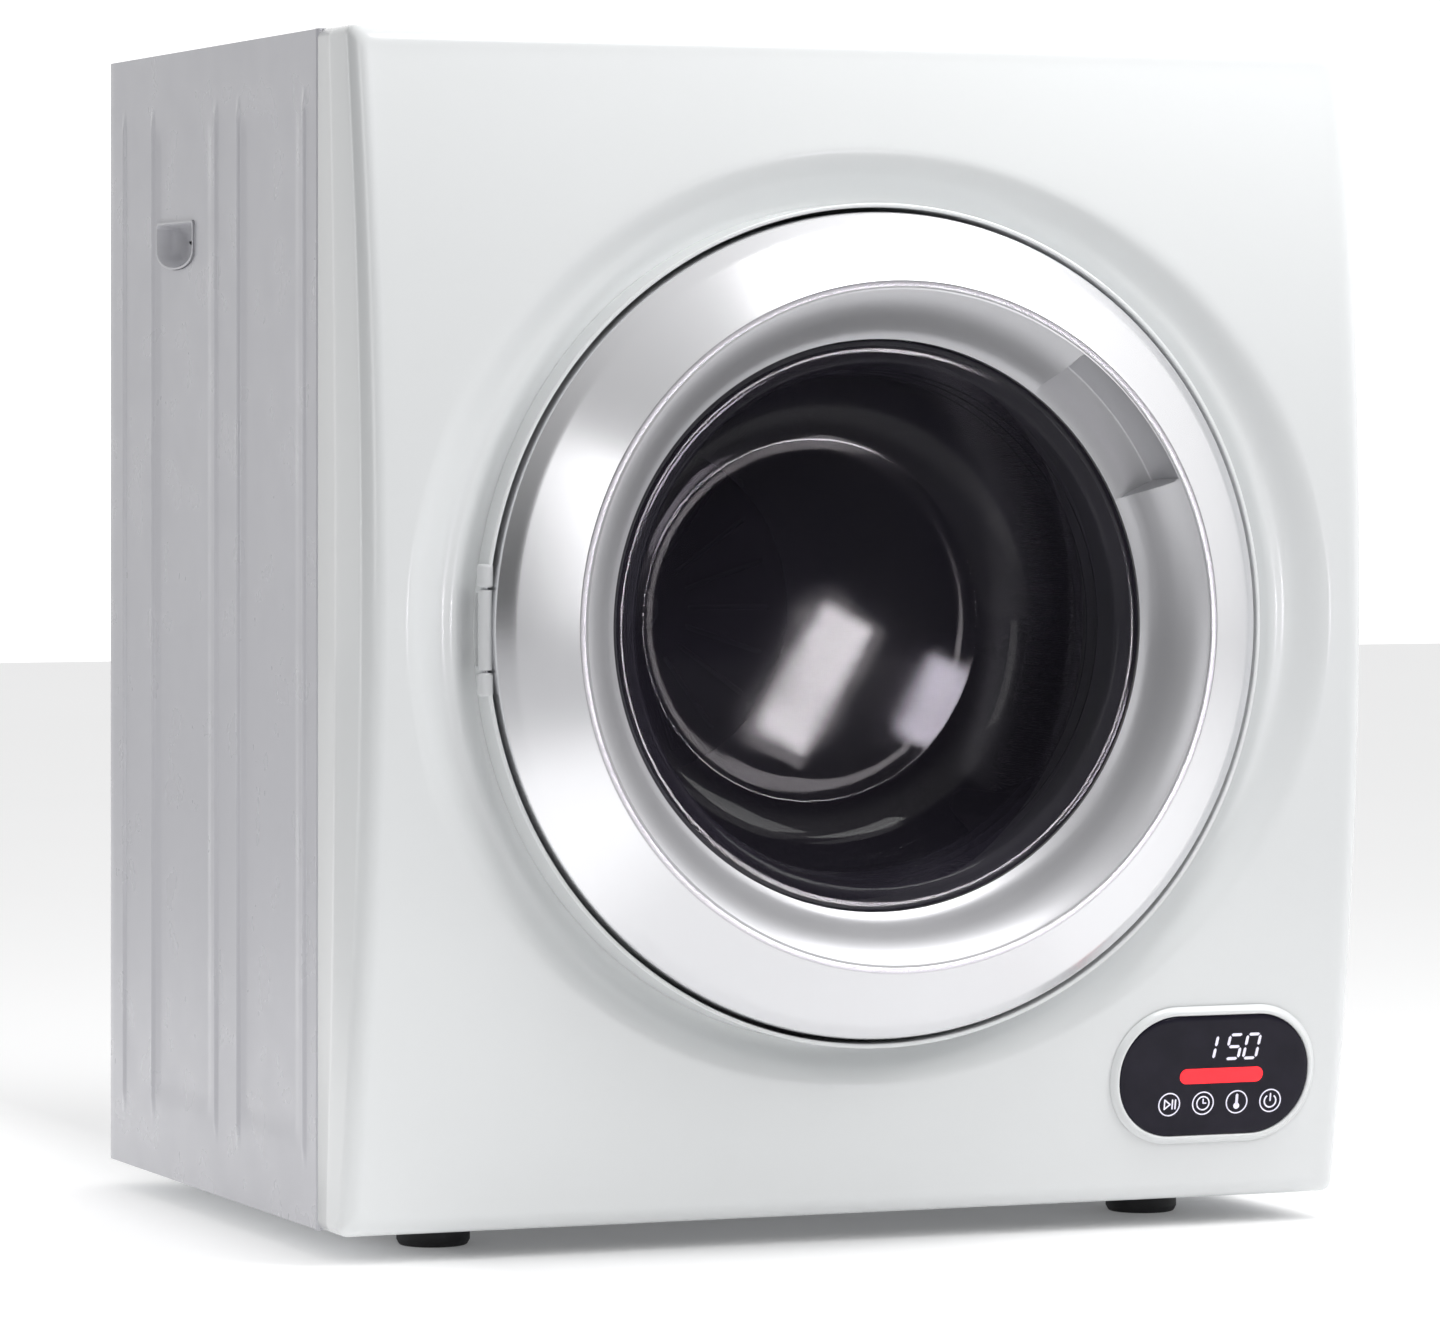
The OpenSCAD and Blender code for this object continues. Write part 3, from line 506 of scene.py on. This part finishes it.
def make_fascia():
    """The bulging front: its dish, the field around it, the rounded edge and the short return to the seam."""
    edge, corner = 12.0, 6.0
    outer = outline_points(0, corner)
    rows = []
    inner = outline_points(edge, corner + edge)
    angles = [math.atan2(z - AXIS_Z, x) for x, z in inner]
    for r in [COLLAR_R - 1.0, 238.5, *range(240, 272, 2), 273, 277, DISH_EDGE]:
        row = []
        for a in angles:
            x, z = r * math.cos(a), AXIS_Z + r * math.sin(a)
            row.append(at(x, front_depth(x, z), z))
        rows.append(row)
    for k in range(1, FIELD_STEPS + 1):
        row = []
        for a, (ex, ez) in zip(angles, inner):
            x = mix(DISH_EDGE * math.cos(a), ex, k / FIELD_STEPS)
            z = mix(AXIS_Z + DISH_EDGE * math.sin(a), ez, k / FIELD_STEPS)
            row.append(at(x, front_depth(x, z), z))
        rows.append(row)
    for k in range(1, EDGE_STEPS + 1):
        a = math.radians(90 * k / EDGE_STEPS)
        inset = edge * (1 - math.sin(a))
        back = edge * (1 - math.cos(a))
        row = []
        for (ix, iz), (ox, oz) in zip(inner, outer):
            x, z = mix(ox, ix, inset / edge), mix(oz, iz, inset / edge)
            row.append(at(x, front_depth(ix, iz) + back, z))
        rows.append(row)
    for share in (0.5, 1.0):
        rows.append([at(x, mix(front_depth(ix, iz) + edge, -0.3, share), z)
                     for (ix, iz), (x, z) in zip(inner, outer)])
    verts, faces = strips(rows)
    shell = piece("fascia_panel", verts, faces, "white_plastic", "cabinet", ("front_fascia",), 50)
    if sum(face.normal.y * face.area for face in shell.data.polygons) > 0:
        shell.data.flip_normals()
    thicken(shell, 2.8)


make_fascia()

WELL_Y = -24.0
HINGE_GAP, HINGE_GAP_Y = 22.5, -66.0
well = lathe("door_well", rounded([
    (235.0, -82.0, 0.9), (COLLAR_R, -82.0, 1.1), (COLLAR_R, -21.5, 0), (178.5, -21.5, 0),
    (178.5, -1.6, 0), (176.2, -1.6, 0.6), (176.2, WELL_Y, 3.0), (235.0, WELL_Y, 4.0)]),
    "white_plastic", "cabinet", segments=300)
# The collar is cut back between the hinge ears, where the ring turns over it
for vertex in well.data.vertices:
    beside = vertex.co.x < -0.2 and abs((vertex.co.z - BASE) / MM - AXIS_Z) < HINGE_GAP
    if beside and vertex.co.y < SEAM + HINGE_GAP_Y * MM:
        vertex.co.y = SEAM + HINGE_GAP_Y * MM

# ---- door ----

lathe("door_silver_ring", rounded([
    (RING_R - 3.0, -62.0, 0), (RING_R, -62.0, 0.4), (RING_R, -84.0, 5.0), (224.0, -92.6, 26.0),
    (193.6, -114.9, 1.6), (189.8, -114.9, 0.7), (189.8, -112.6, 0), (193.0, -111.8, 1.0),
    (221.5, -90.5, 20.0), (RING_R - 3.0, -82.5, 3.0)], 8),
    "silver_trim", "door", ("door_outer_ring",), segments=300, sharp=40)


def make_inner_ring():
    """Funnel from the crest to the bowl, with the finger pocket of the door pull let into it."""
    crest = 189.7
    plain = [(crest, -114.2), (crest - 1.2, -114.5), (186.5, -113.2), (180.0, -107.2), (174.0, -98.5),
             (170.0, -91.5), (167.0, -86.6), (164.2, -83.2), (161.6, -81.6), (161.1, -81.2), (161.1, -76.2),
             (165.0, -76.2), (178.0, -92.0), (crest, -106.0)]
    pocket = [(crest, -114.2), (crest - 1.2, -114.5), (188.3, -112.5), (187.6, -104.0), (186.8, -92.0),
              (184.8, -86.2), (179.0, -84.4), (171.0, -83.6), (164.2, -82.8), (161.1, -81.2), (161.1, -76.2),
              (165.0, -76.2), (178.0, -81.6), (crest + 0.2, -90.0)]
    start, end = math.radians(26.0), math.radians(54.0)
    turns = [2 * math.pi * j / 300 for j in range(300)]
    angles = [(a, 0.0) for a in turns if not start - 0.012 < a < end + 0.012]
    inside = [(start + (end - start) * k / 36, 1.0) for k in range(37)]
    edges = [(start - 0.006, 0.0), (start - 0.003, 0.25), (end + 0.003, 0.25), (end + 0.006, 0.0)]
    angles = sorted(angles + inside + edges)
    rows = []
    for (plain_r, plain_y), (pocket_r, pocket_y) in zip(plain, pocket):
        rows.append([around(mix(plain_r, pocket_r, share), mix(plain_y, pocket_y, share), a)
                     for a, share in angles])
    verts, faces = strips(rows, closed_rows=True)
    return piece("door_grey_ring", verts, faces, "grey_trim", "door", ("door_inner_ring",), 30)


make_inner_ring()


def arc(cu, cv, r, a0, a1, steps):
    """Points along part of a circle, from angle a0 to a1 in degrees."""
    return [(cu + r * math.cos(math.radians(mix(a0, a1, k / steps))),
             cv + r * math.sin(math.radians(mix(a0, a1, k / steps)))) for k in range(steps + 1)]


def make_bowl():
    """Smoked bowl: a rounded rim, a ridged wall, a wide fillet and a flat floor."""
    wall = 4.0
    end = 24.0
    outer = [(160.4, -79.9), (160.4, -76.1), (150.0, -76.1), (148.6, -74.0), (146.8, -40.0),
             (145.4, -14.0)]
    outer += arc(108.0, end - 37.1, 36.8, 3, 87, 12)
    outer += [(90.0, end - 0.3), (45.0, end - 0.2), (0.01, end - 0.1)]
    floor = end - wall - 0.4
    inner = [(r, floor) for r in (0.01, 50.0, 90.0, 102.0, 103.6)]
    inner += arc(104.0, floor - 37.0, 37.0, 90, 3, 14)
    inner += [(141.4, -24.0), (142.0, -30.0)]
    for ridge in (-37.0, -50.0, -62.0):
        r = mix(142.6, 144.6, (ridge + 37.0) / -25.0)
        inner += [(r - 0.2, ridge + 2.2), (r - 1.3, ridge + 0.9), (r - 1.3, ridge - 0.9),
                  (r + 0.2, ridge - 2.2)]
    inner += [(145.2, -70.0), (146.8, -77.2), (149.5, -79.4), (153.0, -79.9)]
    return lathe("door_bowl", outer + inner, "smoked_glass", "door", ("door_glass",), sharp=50)


make_bowl()

lathe("door_back_frame_moulding", rounded([
    (157.4, -75.8, 0), (159.8, -75.8, 0), (160.0, -34.2, 0), (221.8, -34.2, 0), (222.0, -62.0, 0),
    (229.2, -62.0, 0), (229.2, -59.8, 0.6), (224.8, -59.2, 1.0), (224.8, -31.2, 5.0), (200.0, -31.2, 0),
    (196.0, -32.4, 2.0), (180.0, -32.4, 2.0), (176.0, -31.2, 0), (157.4, -31.2, 2.5)]),
    "white_plastic", "door", ("door_back_frame",))

# ---- hinge ----

pin_low, pin_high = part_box("hinge_pin")
HINGE = ((pin_low.x + pin_high.x) / 2 / MM, ((pin_low.y + pin_high.y) / 2 - SEAM) / MM)
EAR_R = 4.6
for name, low, high, stands_for in (
        ("hinge_ear_low", AXIS_Z - 36.4, AXIS_Z - 23.4, ("hinge_bracket",)),
        ("hinge_ear_high", AXIS_Z + 23.4, AXIS_Z + 36.4, ())):
    upright(name, rounded([(0.01, low, 0), (EAR_R, low, 1.8), (EAR_R, high, 1.8), (0.01, high, 0)]),
            [HINGE], "hinge_alloy", "cabinet", stands_for, 48)

# ---- control panel ----

PANEL_X = (trim_low.x + trim_high.x) / 2 / MM
PANEL_Z = 73.5
WINDOW = (120.0, 71.0, 34.5)
PANEL_TILT = math.asin((CROWN_Z - PANEL_Z) / CROWN_R)
PANEL_Y = crown(PANEL_Z)


def on_panel(u, v, w):
    """A point u across and v up the control panel, w behind its face."""
    c, s = math.cos(PANEL_TILT), math.sin(PANEL_TILT)
    return at(PANEL_X + u, PANEL_Y + w * c - v * s, PANEL_Z + w * s + v * c)


def pill(w, h, r, steps=16):
    """A rounded rectangle about the origin."""
    out = []
    for sx, sz, start in ((1, 1, 0), (-1, 1, 90), (-1, -1, 180), (1, -1, 270)):
        for k in range(steps + 1):
            a = math.radians(start + 90 * k / steps)
            out.append((sx * (w / 2 - r) + r * math.cos(a), sz * (h / 2 - r) + r * math.sin(a)))
    return out


def pill_rows(profile, w, h, r):
    """Rows for a closed profile of (growth, depth) carried round a rounded rectangle."""
    return [[on_panel(u, v, depth) for u, v in pill(w + 2 * grow, h + 2 * grow, r + grow)]
            for grow, depth in profile]


def make_trim():
    profile = [(0.2, -0.35), (0.2, -2.6), (0.6, -3.15), (1.3, -3.35), (2.1, -3.25), (3.1, -2.6), (4.1, -1.5),
               (4.8, -0.7), (5.2, -0.35)]
    rows = pill_rows(profile, *WINDOW)
    verts, faces = strips(rows, closed_rows=True)
    return piece("control_bezel", verts, faces, "white_plastic", "cabinet", ("control_trim",), 40)


make_trim()


def make_window():
    profile = [(-0.1, -0.4), (-0.1, -2.3), (-0.35, -2.8), (-0.9, -3.0), (-6, -3.04), (-14, -3.05)]
    rows = pill_rows(profile, *WINDOW)
    verts, faces = strips(rows)
    count = len(rows[0])
    faces.append(tuple(range(len(verts) - count, len(verts))))
    faces.append(tuple(range(count))[::-1])
    return piece("control_touch_window", verts, faces, "black_glass", "cabinet", ("control_window",), 40)


make_window()

MARK_LOW, MARK_HIGH = -3.12, -3.3


def flat_marks(name, outlines, slot, stands_for=(), material=None):
    """Thin raised marks on the window, each from its own closed outline."""
    verts, faces = [], []
    for outline in outlines:
        more, cells = prism(outline, on_panel, MARK_HIGH, MARK_LOW)
        faces += [tuple(i + len(verts) for i in cell) for cell in cells]
        verts += more
    return piece(name, verts, faces, slot, "cabinet", stands_for, 40, material)


def stroke(points, width, closed=False):
    """Closed outlines of short bars with round ends along a line of points."""
    out = []
    count = len(points) if closed else len(points) - 1
    for i in range(count):
        a, b = Vector(points[i]), Vector(points[(i + 1) % len(points)])
        along = (b - a).normalized() * width / 2
        side = Vector((-along.y, along.x))
        bevel, flank = along * 0.6, side * 0.7
        out.append([tuple(p) for p in (a - bevel - flank, a - along, a - bevel + flank, a + side, b + side,
                                       b + bevel + flank, b + along, b + bevel - flank, b - side, a - side)])
    return out


def circle_band(cu, cv, r, width, steps=40, a0=0, a1=360):
    """Outline quads of a thin ring or of part of one."""
    inside, outside = arc(cu, cv, r - width / 2, a0, a1, steps), arc(cu, cv, r + width / 2, a0, a1, steps)
    return [[inside[k], outside[k], outside[k + 1], inside[k + 1]] for k in range(steps)]


def disc(cu, cv, r, steps=24):
    return [(cu + r * math.cos(2 * math.pi * k / steps), cv + r * math.sin(2 * math.pi * k / steps))
            for k in range(steps)]


# Slanted seven-segment figures: each bar is (middle u, middle v, upright)
FIGURE_W, FIGURE_H, FIGURE_T = 8.0, 14.1, 1.7
BARS = {"a": (0.5, 1.0, False), "b": (1.0, 0.75, True), "c": (1.0, 0.25, True), "d": (0.5, 0.0, False),
        "e": (0.0, 0.25, True), "f": (0.0, 0.75, True), "g": (0.5, 0.5, False)}
FIGURE_V, SLANT = 9.6, 0.16


def figure(left, lit_bars):
    """The lit bars of one figure, leaning to the right, with its lower left corner at left."""
    outlines = []
    for key in lit_bars:
        share_u, share_v, is_upright = BARS[key]
        u, v = share_u * FIGURE_W, share_v * FIGURE_H
        half = (FIGURE_H / 2 if is_upright else FIGURE_W) / 2 - 0.55
        t = FIGURE_T / 2
        shape = [(-half, 0), (-half + t, t), (half - t, t), (half, 0), (half - t, -t), (-half + t, -t)]
        if is_upright:
            shape = [(-b, a) for a, b in shape]
        outlines.append([(left + u + a + SLANT * (v + b), FIGURE_V + v + b) for a, b in shape])
    return outlines


white_marks = figure(-9.8, "bc") + figure(6.1, "afgcd") + figure(17.4, "abcdef")
ICON_V = -16.4
ICONS = [-27.7 + 21.6 * k for k in range(4)]
for u in ICONS:
    white_marks += circle_band(u, ICON_V, 6.6, 0.75)
# start and pause
triangle = [(ICONS[0] - 3.0, ICON_V + 2.8), (ICONS[0] - 3.0, ICON_V - 2.8), (ICONS[0] + 0.6, ICON_V)]
white_marks += stroke(triangle, 0.8, closed=True)
for u in (ICONS[0] + 2.0, ICONS[0] + 3.9):
    white_marks += stroke([(u, ICON_V + 2.6), (u, ICON_V - 2.6)], 0.9)
# timer
white_marks += circle_band(ICONS[1], ICON_V, 3.9, 0.8, 30)
white_marks += stroke([(ICONS[1], ICON_V + 2.4), (ICONS[1], ICON_V), (ICONS[1] + 1.9, ICON_V)], 0.75)
# heat
white_marks += [disc(ICONS[2], ICON_V - 2.3, 1.9)]
white_marks += stroke([(ICONS[2], ICON_V + 4.1), (ICONS[2], ICON_V - 1.5)], 1.7)
# power
white_marks += circle_band(ICONS[3], ICON_V - 0.2, 3.7, 0.9, 30, 125, 415)
white_marks += stroke([(ICONS[3], ICON_V + 4.1), (ICONS[3], ICON_V)], 0.95)
flat_marks("control_figures", white_marks, "led_light", ("control_marks",))
level_bar = [(u + 4.4, v - 0.2) for u, v in pill(53, 8.9, 4.3, 8)]
flat_marks("control_level_bar", [level_bar], "led_light", material=RED_LIGHT)

# ---- side panels ----

# Stamped relief: ribs with their ends, the bead along the seam, and sunk fields as (far edge, near edge)
RIBS = [28.0, 148.0, 190.0, 313.5, 372.0]
RIB_HALF, RIB_OUT = 5.2, 1.42
RIB_FOOT, RIB_HEAD = (29, 47), (622, 640)
BEAD_Y, BEAD_HALF, BEAD_OUT = 4.4, 3.6, 1.4
FIELDS = [(148.0, 34.0), (313.5, 196.0)]
FIELD_FOOT, FIELD_HEAD, FIELD_IN = (40, 58), (612, 630), 1.1
BEND, BEND_STEPS = 5.0, 9
SHEET = 1.15
GRIP_Y = ((grip_low.y + grip_high.y) / 2 - SEAM) / MM
GRIP_Z = ((grip_low.z + grip_high.z) / 2 - BASE) / MM
GRIP_W = (grip_high.y - grip_low.y) / MM
GRIP_H = (grip_high.z - grip_low.z) / MM


def swell(distance, half):
    """1 on the middle line of a rib, falling softly to 0 at its edges."""
    return 0.5 + 0.5 * math.cos(math.pi * distance / half) if distance < half else 0.0


def side_relief(y, z):
    """How far the stamped sheet stands out from its flat face."""
    ends = smooth(z, *RIB_FOOT) * (1 - smooth(z, *RIB_HEAD))
    out = max(RIB_OUT * swell(abs(y - rib), RIB_HALF) * ends for rib in RIBS)
    out = max(out, BEAD_OUT * swell(abs(y - BEAD_Y), BEAD_HALF))
    for far, near in FIELDS:
        field = smooth(y, near + 2, near + 14) * (1 - smooth(y, far - 14, far - 2))
        out -= FIELD_IN * field * smooth(z, *FIELD_FOOT) * (1 - smooth(z, *FIELD_HEAD))
    return out


def grip_outline(grow, steps=18):
    """D shape, flat on top and bowed below, as (depth, height) about the grip's middle."""
    half, top, low = GRIP_W / 2 + grow, GRIP_H / 2 + grow, -GRIP_H / 2 - grow
    out = [(half - 2, top), (half, top - 2)]
    for k in range(steps + 1):
        a = math.pi * k / steps
        out.append((half * math.cos(a) * (1 - 0.02 * math.sin(a)), low + 12 - 12 * math.sin(a) ** 0.8))
    out += [(-half, top - 2), (-half + 2, top)]
    return out


def make_side(sign, name, stands_for):
    """One side sheet: its relief, the bend at the back, the flange behind it and the hole for the grip."""
    ys = [0.4 + k * 2.5 for k in range(158)]
    ys += [rib + RIB_HALF * d / 5 for rib in RIBS for d in range(-5, 6)]
    ys += [BEAD_Y + BEAD_HALF * d / 5 for d in range(-5, 6)]
    path = [(0.0, y) for y in sorted(set(ys)) if y <= DEPTH - BEND]
    for k in range(1, BEND_STEPS + 1):
        a = math.radians(90 * k / BEND_STEPS)
        path.append((BEND * (1 - math.cos(a)), DEPTH - BEND + BEND * math.sin(a)))
    path += [(14.0, DEPTH), (23.8, DEPTH)]
    zs = [HEIGHT * k / 30 for k in range(31)]
    zs += [29 + 2.5 * k for k in range(14)]
    zs += [610 + 2.5 * k for k in range(13)]
    rows = []
    for z in sorted(set(zs)):
        row = []
        for inward, y in path:
            lift = side_relief(y, z) if inward == 0 else 0.0
            row.append(at(sign * (SIDE_X - inward + lift), y, z))
        rows.append(row)
    verts, faces = strips(rows, closed_columns=False)
    side = piece(name, verts, faces, "side_paint", "cabinet", stands_for, 60)
    outward = sum(f.normal.x * f.area for f in side.data.polygons)
    if outward * sign < 0:
        side.data.flip_normals()
    thicken(side, SHEET)
    verts, faces = prism([(GRIP_Y + u, GRIP_Z + v) for u, v in grip_outline(0.0)],
                         lambda u, v, w: at(w, u, v), sign * (SIDE_X - 6), sign * (SIDE_X + 6))
    cut_by(side, loose("grip_cutter", verts, faces))


make_side(-1, "left_side_sheet", ("left_side_panel",))
make_side(1, "right_side_sheet", ("right_side_panel",))


def make_grip(sign, name, stands_for):
    """Cup of the hand grip: a thin rolled rim on the sheet, steep walls and a floor rounded into them."""
    profile = [(-0.15, 0.3), (-0.15, -0.25), (-0.6, -0.4), (-1.3, -0.3), (-1.6, 0.8), (-2.0, 8.0),
               (-3.4, 13.0), (-7.0, 15.6), (-11.0, 16.3)]
    rows = [[at(sign * (SIDE_X - depth), GRIP_Y + u, GRIP_Z + v) for u, v in grip_outline(grow)]
            for grow, depth in profile]
    verts, faces = strips(rows)
    count = len(rows[0])
    faces.append(tuple(range(len(verts) - count, len(verts))))
    cup = piece(name, verts, faces, "grip_plastic", "cabinet", stands_for, 40)
    if sum(f.normal.x * f.area for f in cup.data.polygons) * sign < 0:
        cup.data.flip_normals()
    thicken(cup, 1.2)


make_grip(-1, "left_hand_grip", ("side_grip_left",))
make_grip(1, "right_hand_grip", ("side_grip_right",))

# ---- feet ----

FOOT_H = BASE / MM
upright("rubber_feet", rounded([
    (0.01, -FOOT_H, 0), (19.2, -FOOT_H, 1.6), (20.9, -FOOT_H + 3.2, 1.0), (20.9, -6.2, 0.8),
    (19.4, -5.0, 0.4), (19.4, -4.2, 0.3), (16.0, -4.0, 0.5), (16.0, 0.0, 0), (0.01, 0.0, 0)]),
    [(x, y) for x in (-222.0, 222.0) for y in (45.0, 350.0)], "foot_rubber", "cabinet", ("feet",), sharp=30)

# ---- drum ----

lathe("drum_wall", [
    (276.1, 22.1), (276.1, 317.9), (275.0, 317.9), (275.0, 262.0), (273.4, 258.0), (273.4, 250.0),
    (275.0, 246.0), (275.0, 96.0), (273.4, 92.0), (273.4, 84.0), (275.0, 80.0), (275.0, 22.1)],
    "drum_steel", "drum", ("drum_shell",), segments=300, sharp=50)

LIFTER_Y = (36.5, 309.5)
LIFTER_STEPS = 40
LIFTER_R = 274.6
LIFTER_HALF = 31
# Half a section through a lifter, as shares of its half width and height, from its foot to beside its crest
LIFTER_FLANK = [(1.0, 0.0), (0.86, 0.05), (0.62, 0.2), (0.42, 0.5), (0.3, 0.8), (0.2, 0.94)]
LIFTER_SECTION = [(-w, h) for w, h in LIFTER_FLANK] + [(0, 1.0)] + LIFTER_FLANK[::-1]


def make_lifter(name, turn, stands_for):
    """Moulded lifter with tapered ends, a rounded crest that sways a little, and a flared foot."""
    rows = []
    front, back = LIFTER_Y
    for k in range(LIFTER_STEPS + 1):
        y = mix(front, back, k / LIFTER_STEPS)
        ends = min(smooth(y, front - 1, front + 42), 1 - smooth(y, back - 42, back + 1))
        height = 4 + 40 * ends
        sway = 9 * math.sin(math.pi * 2 * k / LIFTER_STEPS)
        row = []
        for share_w, share_h in LIFTER_SECTION:
            w = share_w * LIFTER_HALF * (0.75 + 0.25 * ends) + sway * share_h * 0.3
            r = math.sqrt(LIFTER_R ** 2 - w * w) - share_h * height
            row.append(around(min(math.hypot(w, r), LIFTER_R), y, turn + math.atan2(w, r)))
        rows.append(row)
    verts, faces = strips(rows)
    count = len(rows[0])
    faces.append(tuple(range(count))[::-1])
    faces.append(tuple(range(len(verts) - count, len(verts))))
    return piece(name, verts, faces, "lifter_plastic", "drum", stands_for, 50)


make_lifter("drum_lifter_low_right", math.radians(-30), ("lifter_1",))
make_lifter("drum_lifter_low_left", math.radians(-150), ("lifter_2",))
make_lifter("drum_lifter_top", math.radians(90), ("lifter_3",))

# ---- floor, light and camera ----

def make_stage():
    """A pale floor with painted shade far in front and far to the left, where it is darkened to cut the light
    it throws back onto the cabinet, and a soft glow that is stronger at the left as painted light that washes
    out the cabinet's shadow there.
    """
    mesh = bpy.data.meshes.new("studio_floor")
    mesh.from_pydata([(-9, -9, 0), (9, -9, 0), (9, 9, 0), (-9, 9, 0)], [], [(0, 1, 2, 3)])
    floor = bpy.data.objects.new("studio_floor", mesh)
    bpy.context.scene.collection.objects.link(floor)
    n = Nodes("pale_floor")
    split = n.add("ShaderNodeSeparateXYZ", sockets={"Vector": n.coords()})
    # Painted shade: the floor colour falls to a dark grey far in front and far to the left, to cut the light
    # it throws back onto the cabinet.
    near = n.add("ShaderNodeMapRange", sockets={
        "Value": split.outputs["Y"], "From Min": -1.0, "From Max": -0.68, "To Min": 0.0, "To Max": 1.0})
    right = n.add("ShaderNodeMapRange", sockets={
        "Value": split.outputs["X"], "From Min": -1.0, "From Max": -0.62, "To Min": 0.0, "To Max": 1.0})
    unshaded_share = n.add("ShaderNodeMath", operation="MULTIPLY", sockets={
        0: near.outputs["Result"], 1: right.outputs["Result"]})
    colour = n.ramp(unshaded_share.outputs["Value"], [(0.0, (0.34, 0.34, 0.345)), (1.0, (0.84, 0.84, 0.842))])
    # Painted light: the floor glows more at the left, washing out the cabinet's shadow there; elsewhere the
    # glow is even.
    glow = n.add("ShaderNodeMapRange", sockets={
        "Value": split.outputs["X"], "From Min": -0.36, "From Max": -0.22, "To Min": 0.55, "To Max": 0.12})
    n.surface(Base_Color=colour, Emission_Color=colour, Emission_Strength=glow.outputs["Result"],
              Roughness=n.spread(n.noise(2.0, 3.0), 0.86, 0.94))
    mesh.materials.append(n.material)


make_stage()


def area_light(name, place, target, size, power, size_y, colour=(1, 1, 1), roll=0.0):
    """A rectangular lamp aimed at a point and turned about its own line of sight by roll degrees."""
    data = bpy.data.lights.new(name, "AREA")
    data.energy = power
    data.color = colour
    data.shape = "RECTANGLE"
    data.size = size
    data.size_y = size_y
    light = bpy.data.objects.new(name, data)
    bpy.context.scene.collection.objects.link(light)
    light.location = place
    aim = (Vector(target) - Vector(place)).to_track_quat("-Z", "Y")
    light.rotation_euler = (aim @ Quaternion((0, 0, 1), math.radians(roll))).to_euler()


def make_world():
    """Soft studio surroundings: bright above, behind and to the right, dim at the left and low in front."""
    world = bpy.data.worlds.new("studio")
    bpy.context.scene.world = world
    world.use_nodes = True
    tree = world.node_tree

    def node(kind, values, **settings):
        made = tree.nodes.new(kind)
        for key, value in settings.items():
            setattr(made, key, value)
        for key, value in values.items():
            if isinstance(value, bpy.types.NodeSocket):
                tree.links.new(value, made.inputs[key])
            else:
                made.inputs[key].default_value = value
        return made.outputs[0]

    def rise(value, low, high, top):
        return node("ShaderNodeMapRange", {
            "Value": value, "From Min": low, "From Max": high, "To Min": 0.0, "To Max": top},
            interpolation_type="SMOOTHSTEP")

    where = tree.nodes.new("ShaderNodeTexCoord")
    split = tree.nodes.new("ShaderNodeSeparateXYZ")
    tree.links.new(where.outputs["Generated"], split.inputs["Vector"])
    x, y, z = (split.outputs[axis] for axis in "XYZ")
    total = node("ShaderNodeMath", {0: x, 1: WORLD_X, 2: WORLD_BASE}, operation="MULTIPLY_ADD")
    total = node("ShaderNodeMath", {0: z, 1: WORLD_Z, 2: total}, operation="MULTIPLY_ADD")
    total = node("ShaderNodeMath", {0: total, 1: rise(y, 0.45, 0.85, WORLD_BACK)}, operation="ADD")
    low = rise(z, 0.60, 0.10, 1.0)
    front = rise(y, -0.15, -0.50, FRONT_LOW)
    dim = node("ShaderNodeMath", {0: low, 1: front}, operation="MULTIPLY")
    keep = node("ShaderNodeMath", {0: 1.0, 1: dim}, operation="SUBTRACT")
    total = node("ShaderNodeMath", {0: total, 1: keep}, operation="MULTIPLY")
    background = tree.nodes["Background"]
    tree.links.new(total, background.inputs["Strength"])
    background.inputs["Color"].default_value = (1, 1, 1, 1)


WORLD_BASE, WORLD_X, WORLD_Z, WORLD_BACK = 0.45, 0.54, 0.50, 0.60
FRONT_LOW = 0.95
make_world()
area_light("left_front_strip", (-1.95, -2.2, 1.1), (-0.2, -0.2, 0.4), 0.7, 9.5, 1.7)
area_light("left_back_strip", (-1.9, 1.25, 0.7), (-0.3, 0.1, 0.4), 0.16, 4, 1.5)
area_light("top_front_softbox", (0.45, -0.62, 1.45), (0.12, -0.15, 0.55), 1.0, 9.5, 0.4)
area_light("right_front_softbox", (2.4, -2.2, 2.5), (0.15, 0, 0.6), 1.3, 38, 1.6)
# Two small lamps where the bowl's flat floor mirrors the camera, for the two pale patches seen in it
BOWL_FLOOR = (0.0, -0.14, 0.31)
area_light("bowl_glint_left", (1.50, -3.71, 0.173), BOWL_FLOOR, 0.065, 1.9, 0.165, (1.0, 0.94, 1.0), -29)
area_light("bowl_glint_right", (1.655, -3.695, 0.139), BOWL_FLOOR, 0.075, 1.2, 0.10, (0.93, 0.86, 1.0), -24)

# A long lens from the front left, its view shifted down so that uprights stay upright
camera_data = bpy.data.cameras.new("photo_camera")
camera_data.sensor_width = 36.0
camera_data.lens = 168.5
camera_data.shift_y = -0.1684
camera_data.clip_end = 60
camera = bpy.data.objects.new("photo_camera", camera_data)
bpy.context.scene.collection.objects.link(camera)
camera.location = (-1.5027, -3.7221, 0.4642)
camera.rotation_euler = (math.radians(90), 0, math.radians(-22.0))
bpy.context.scene.camera = camera
bpy.context.scene.view_settings.view_transform = "Standard"
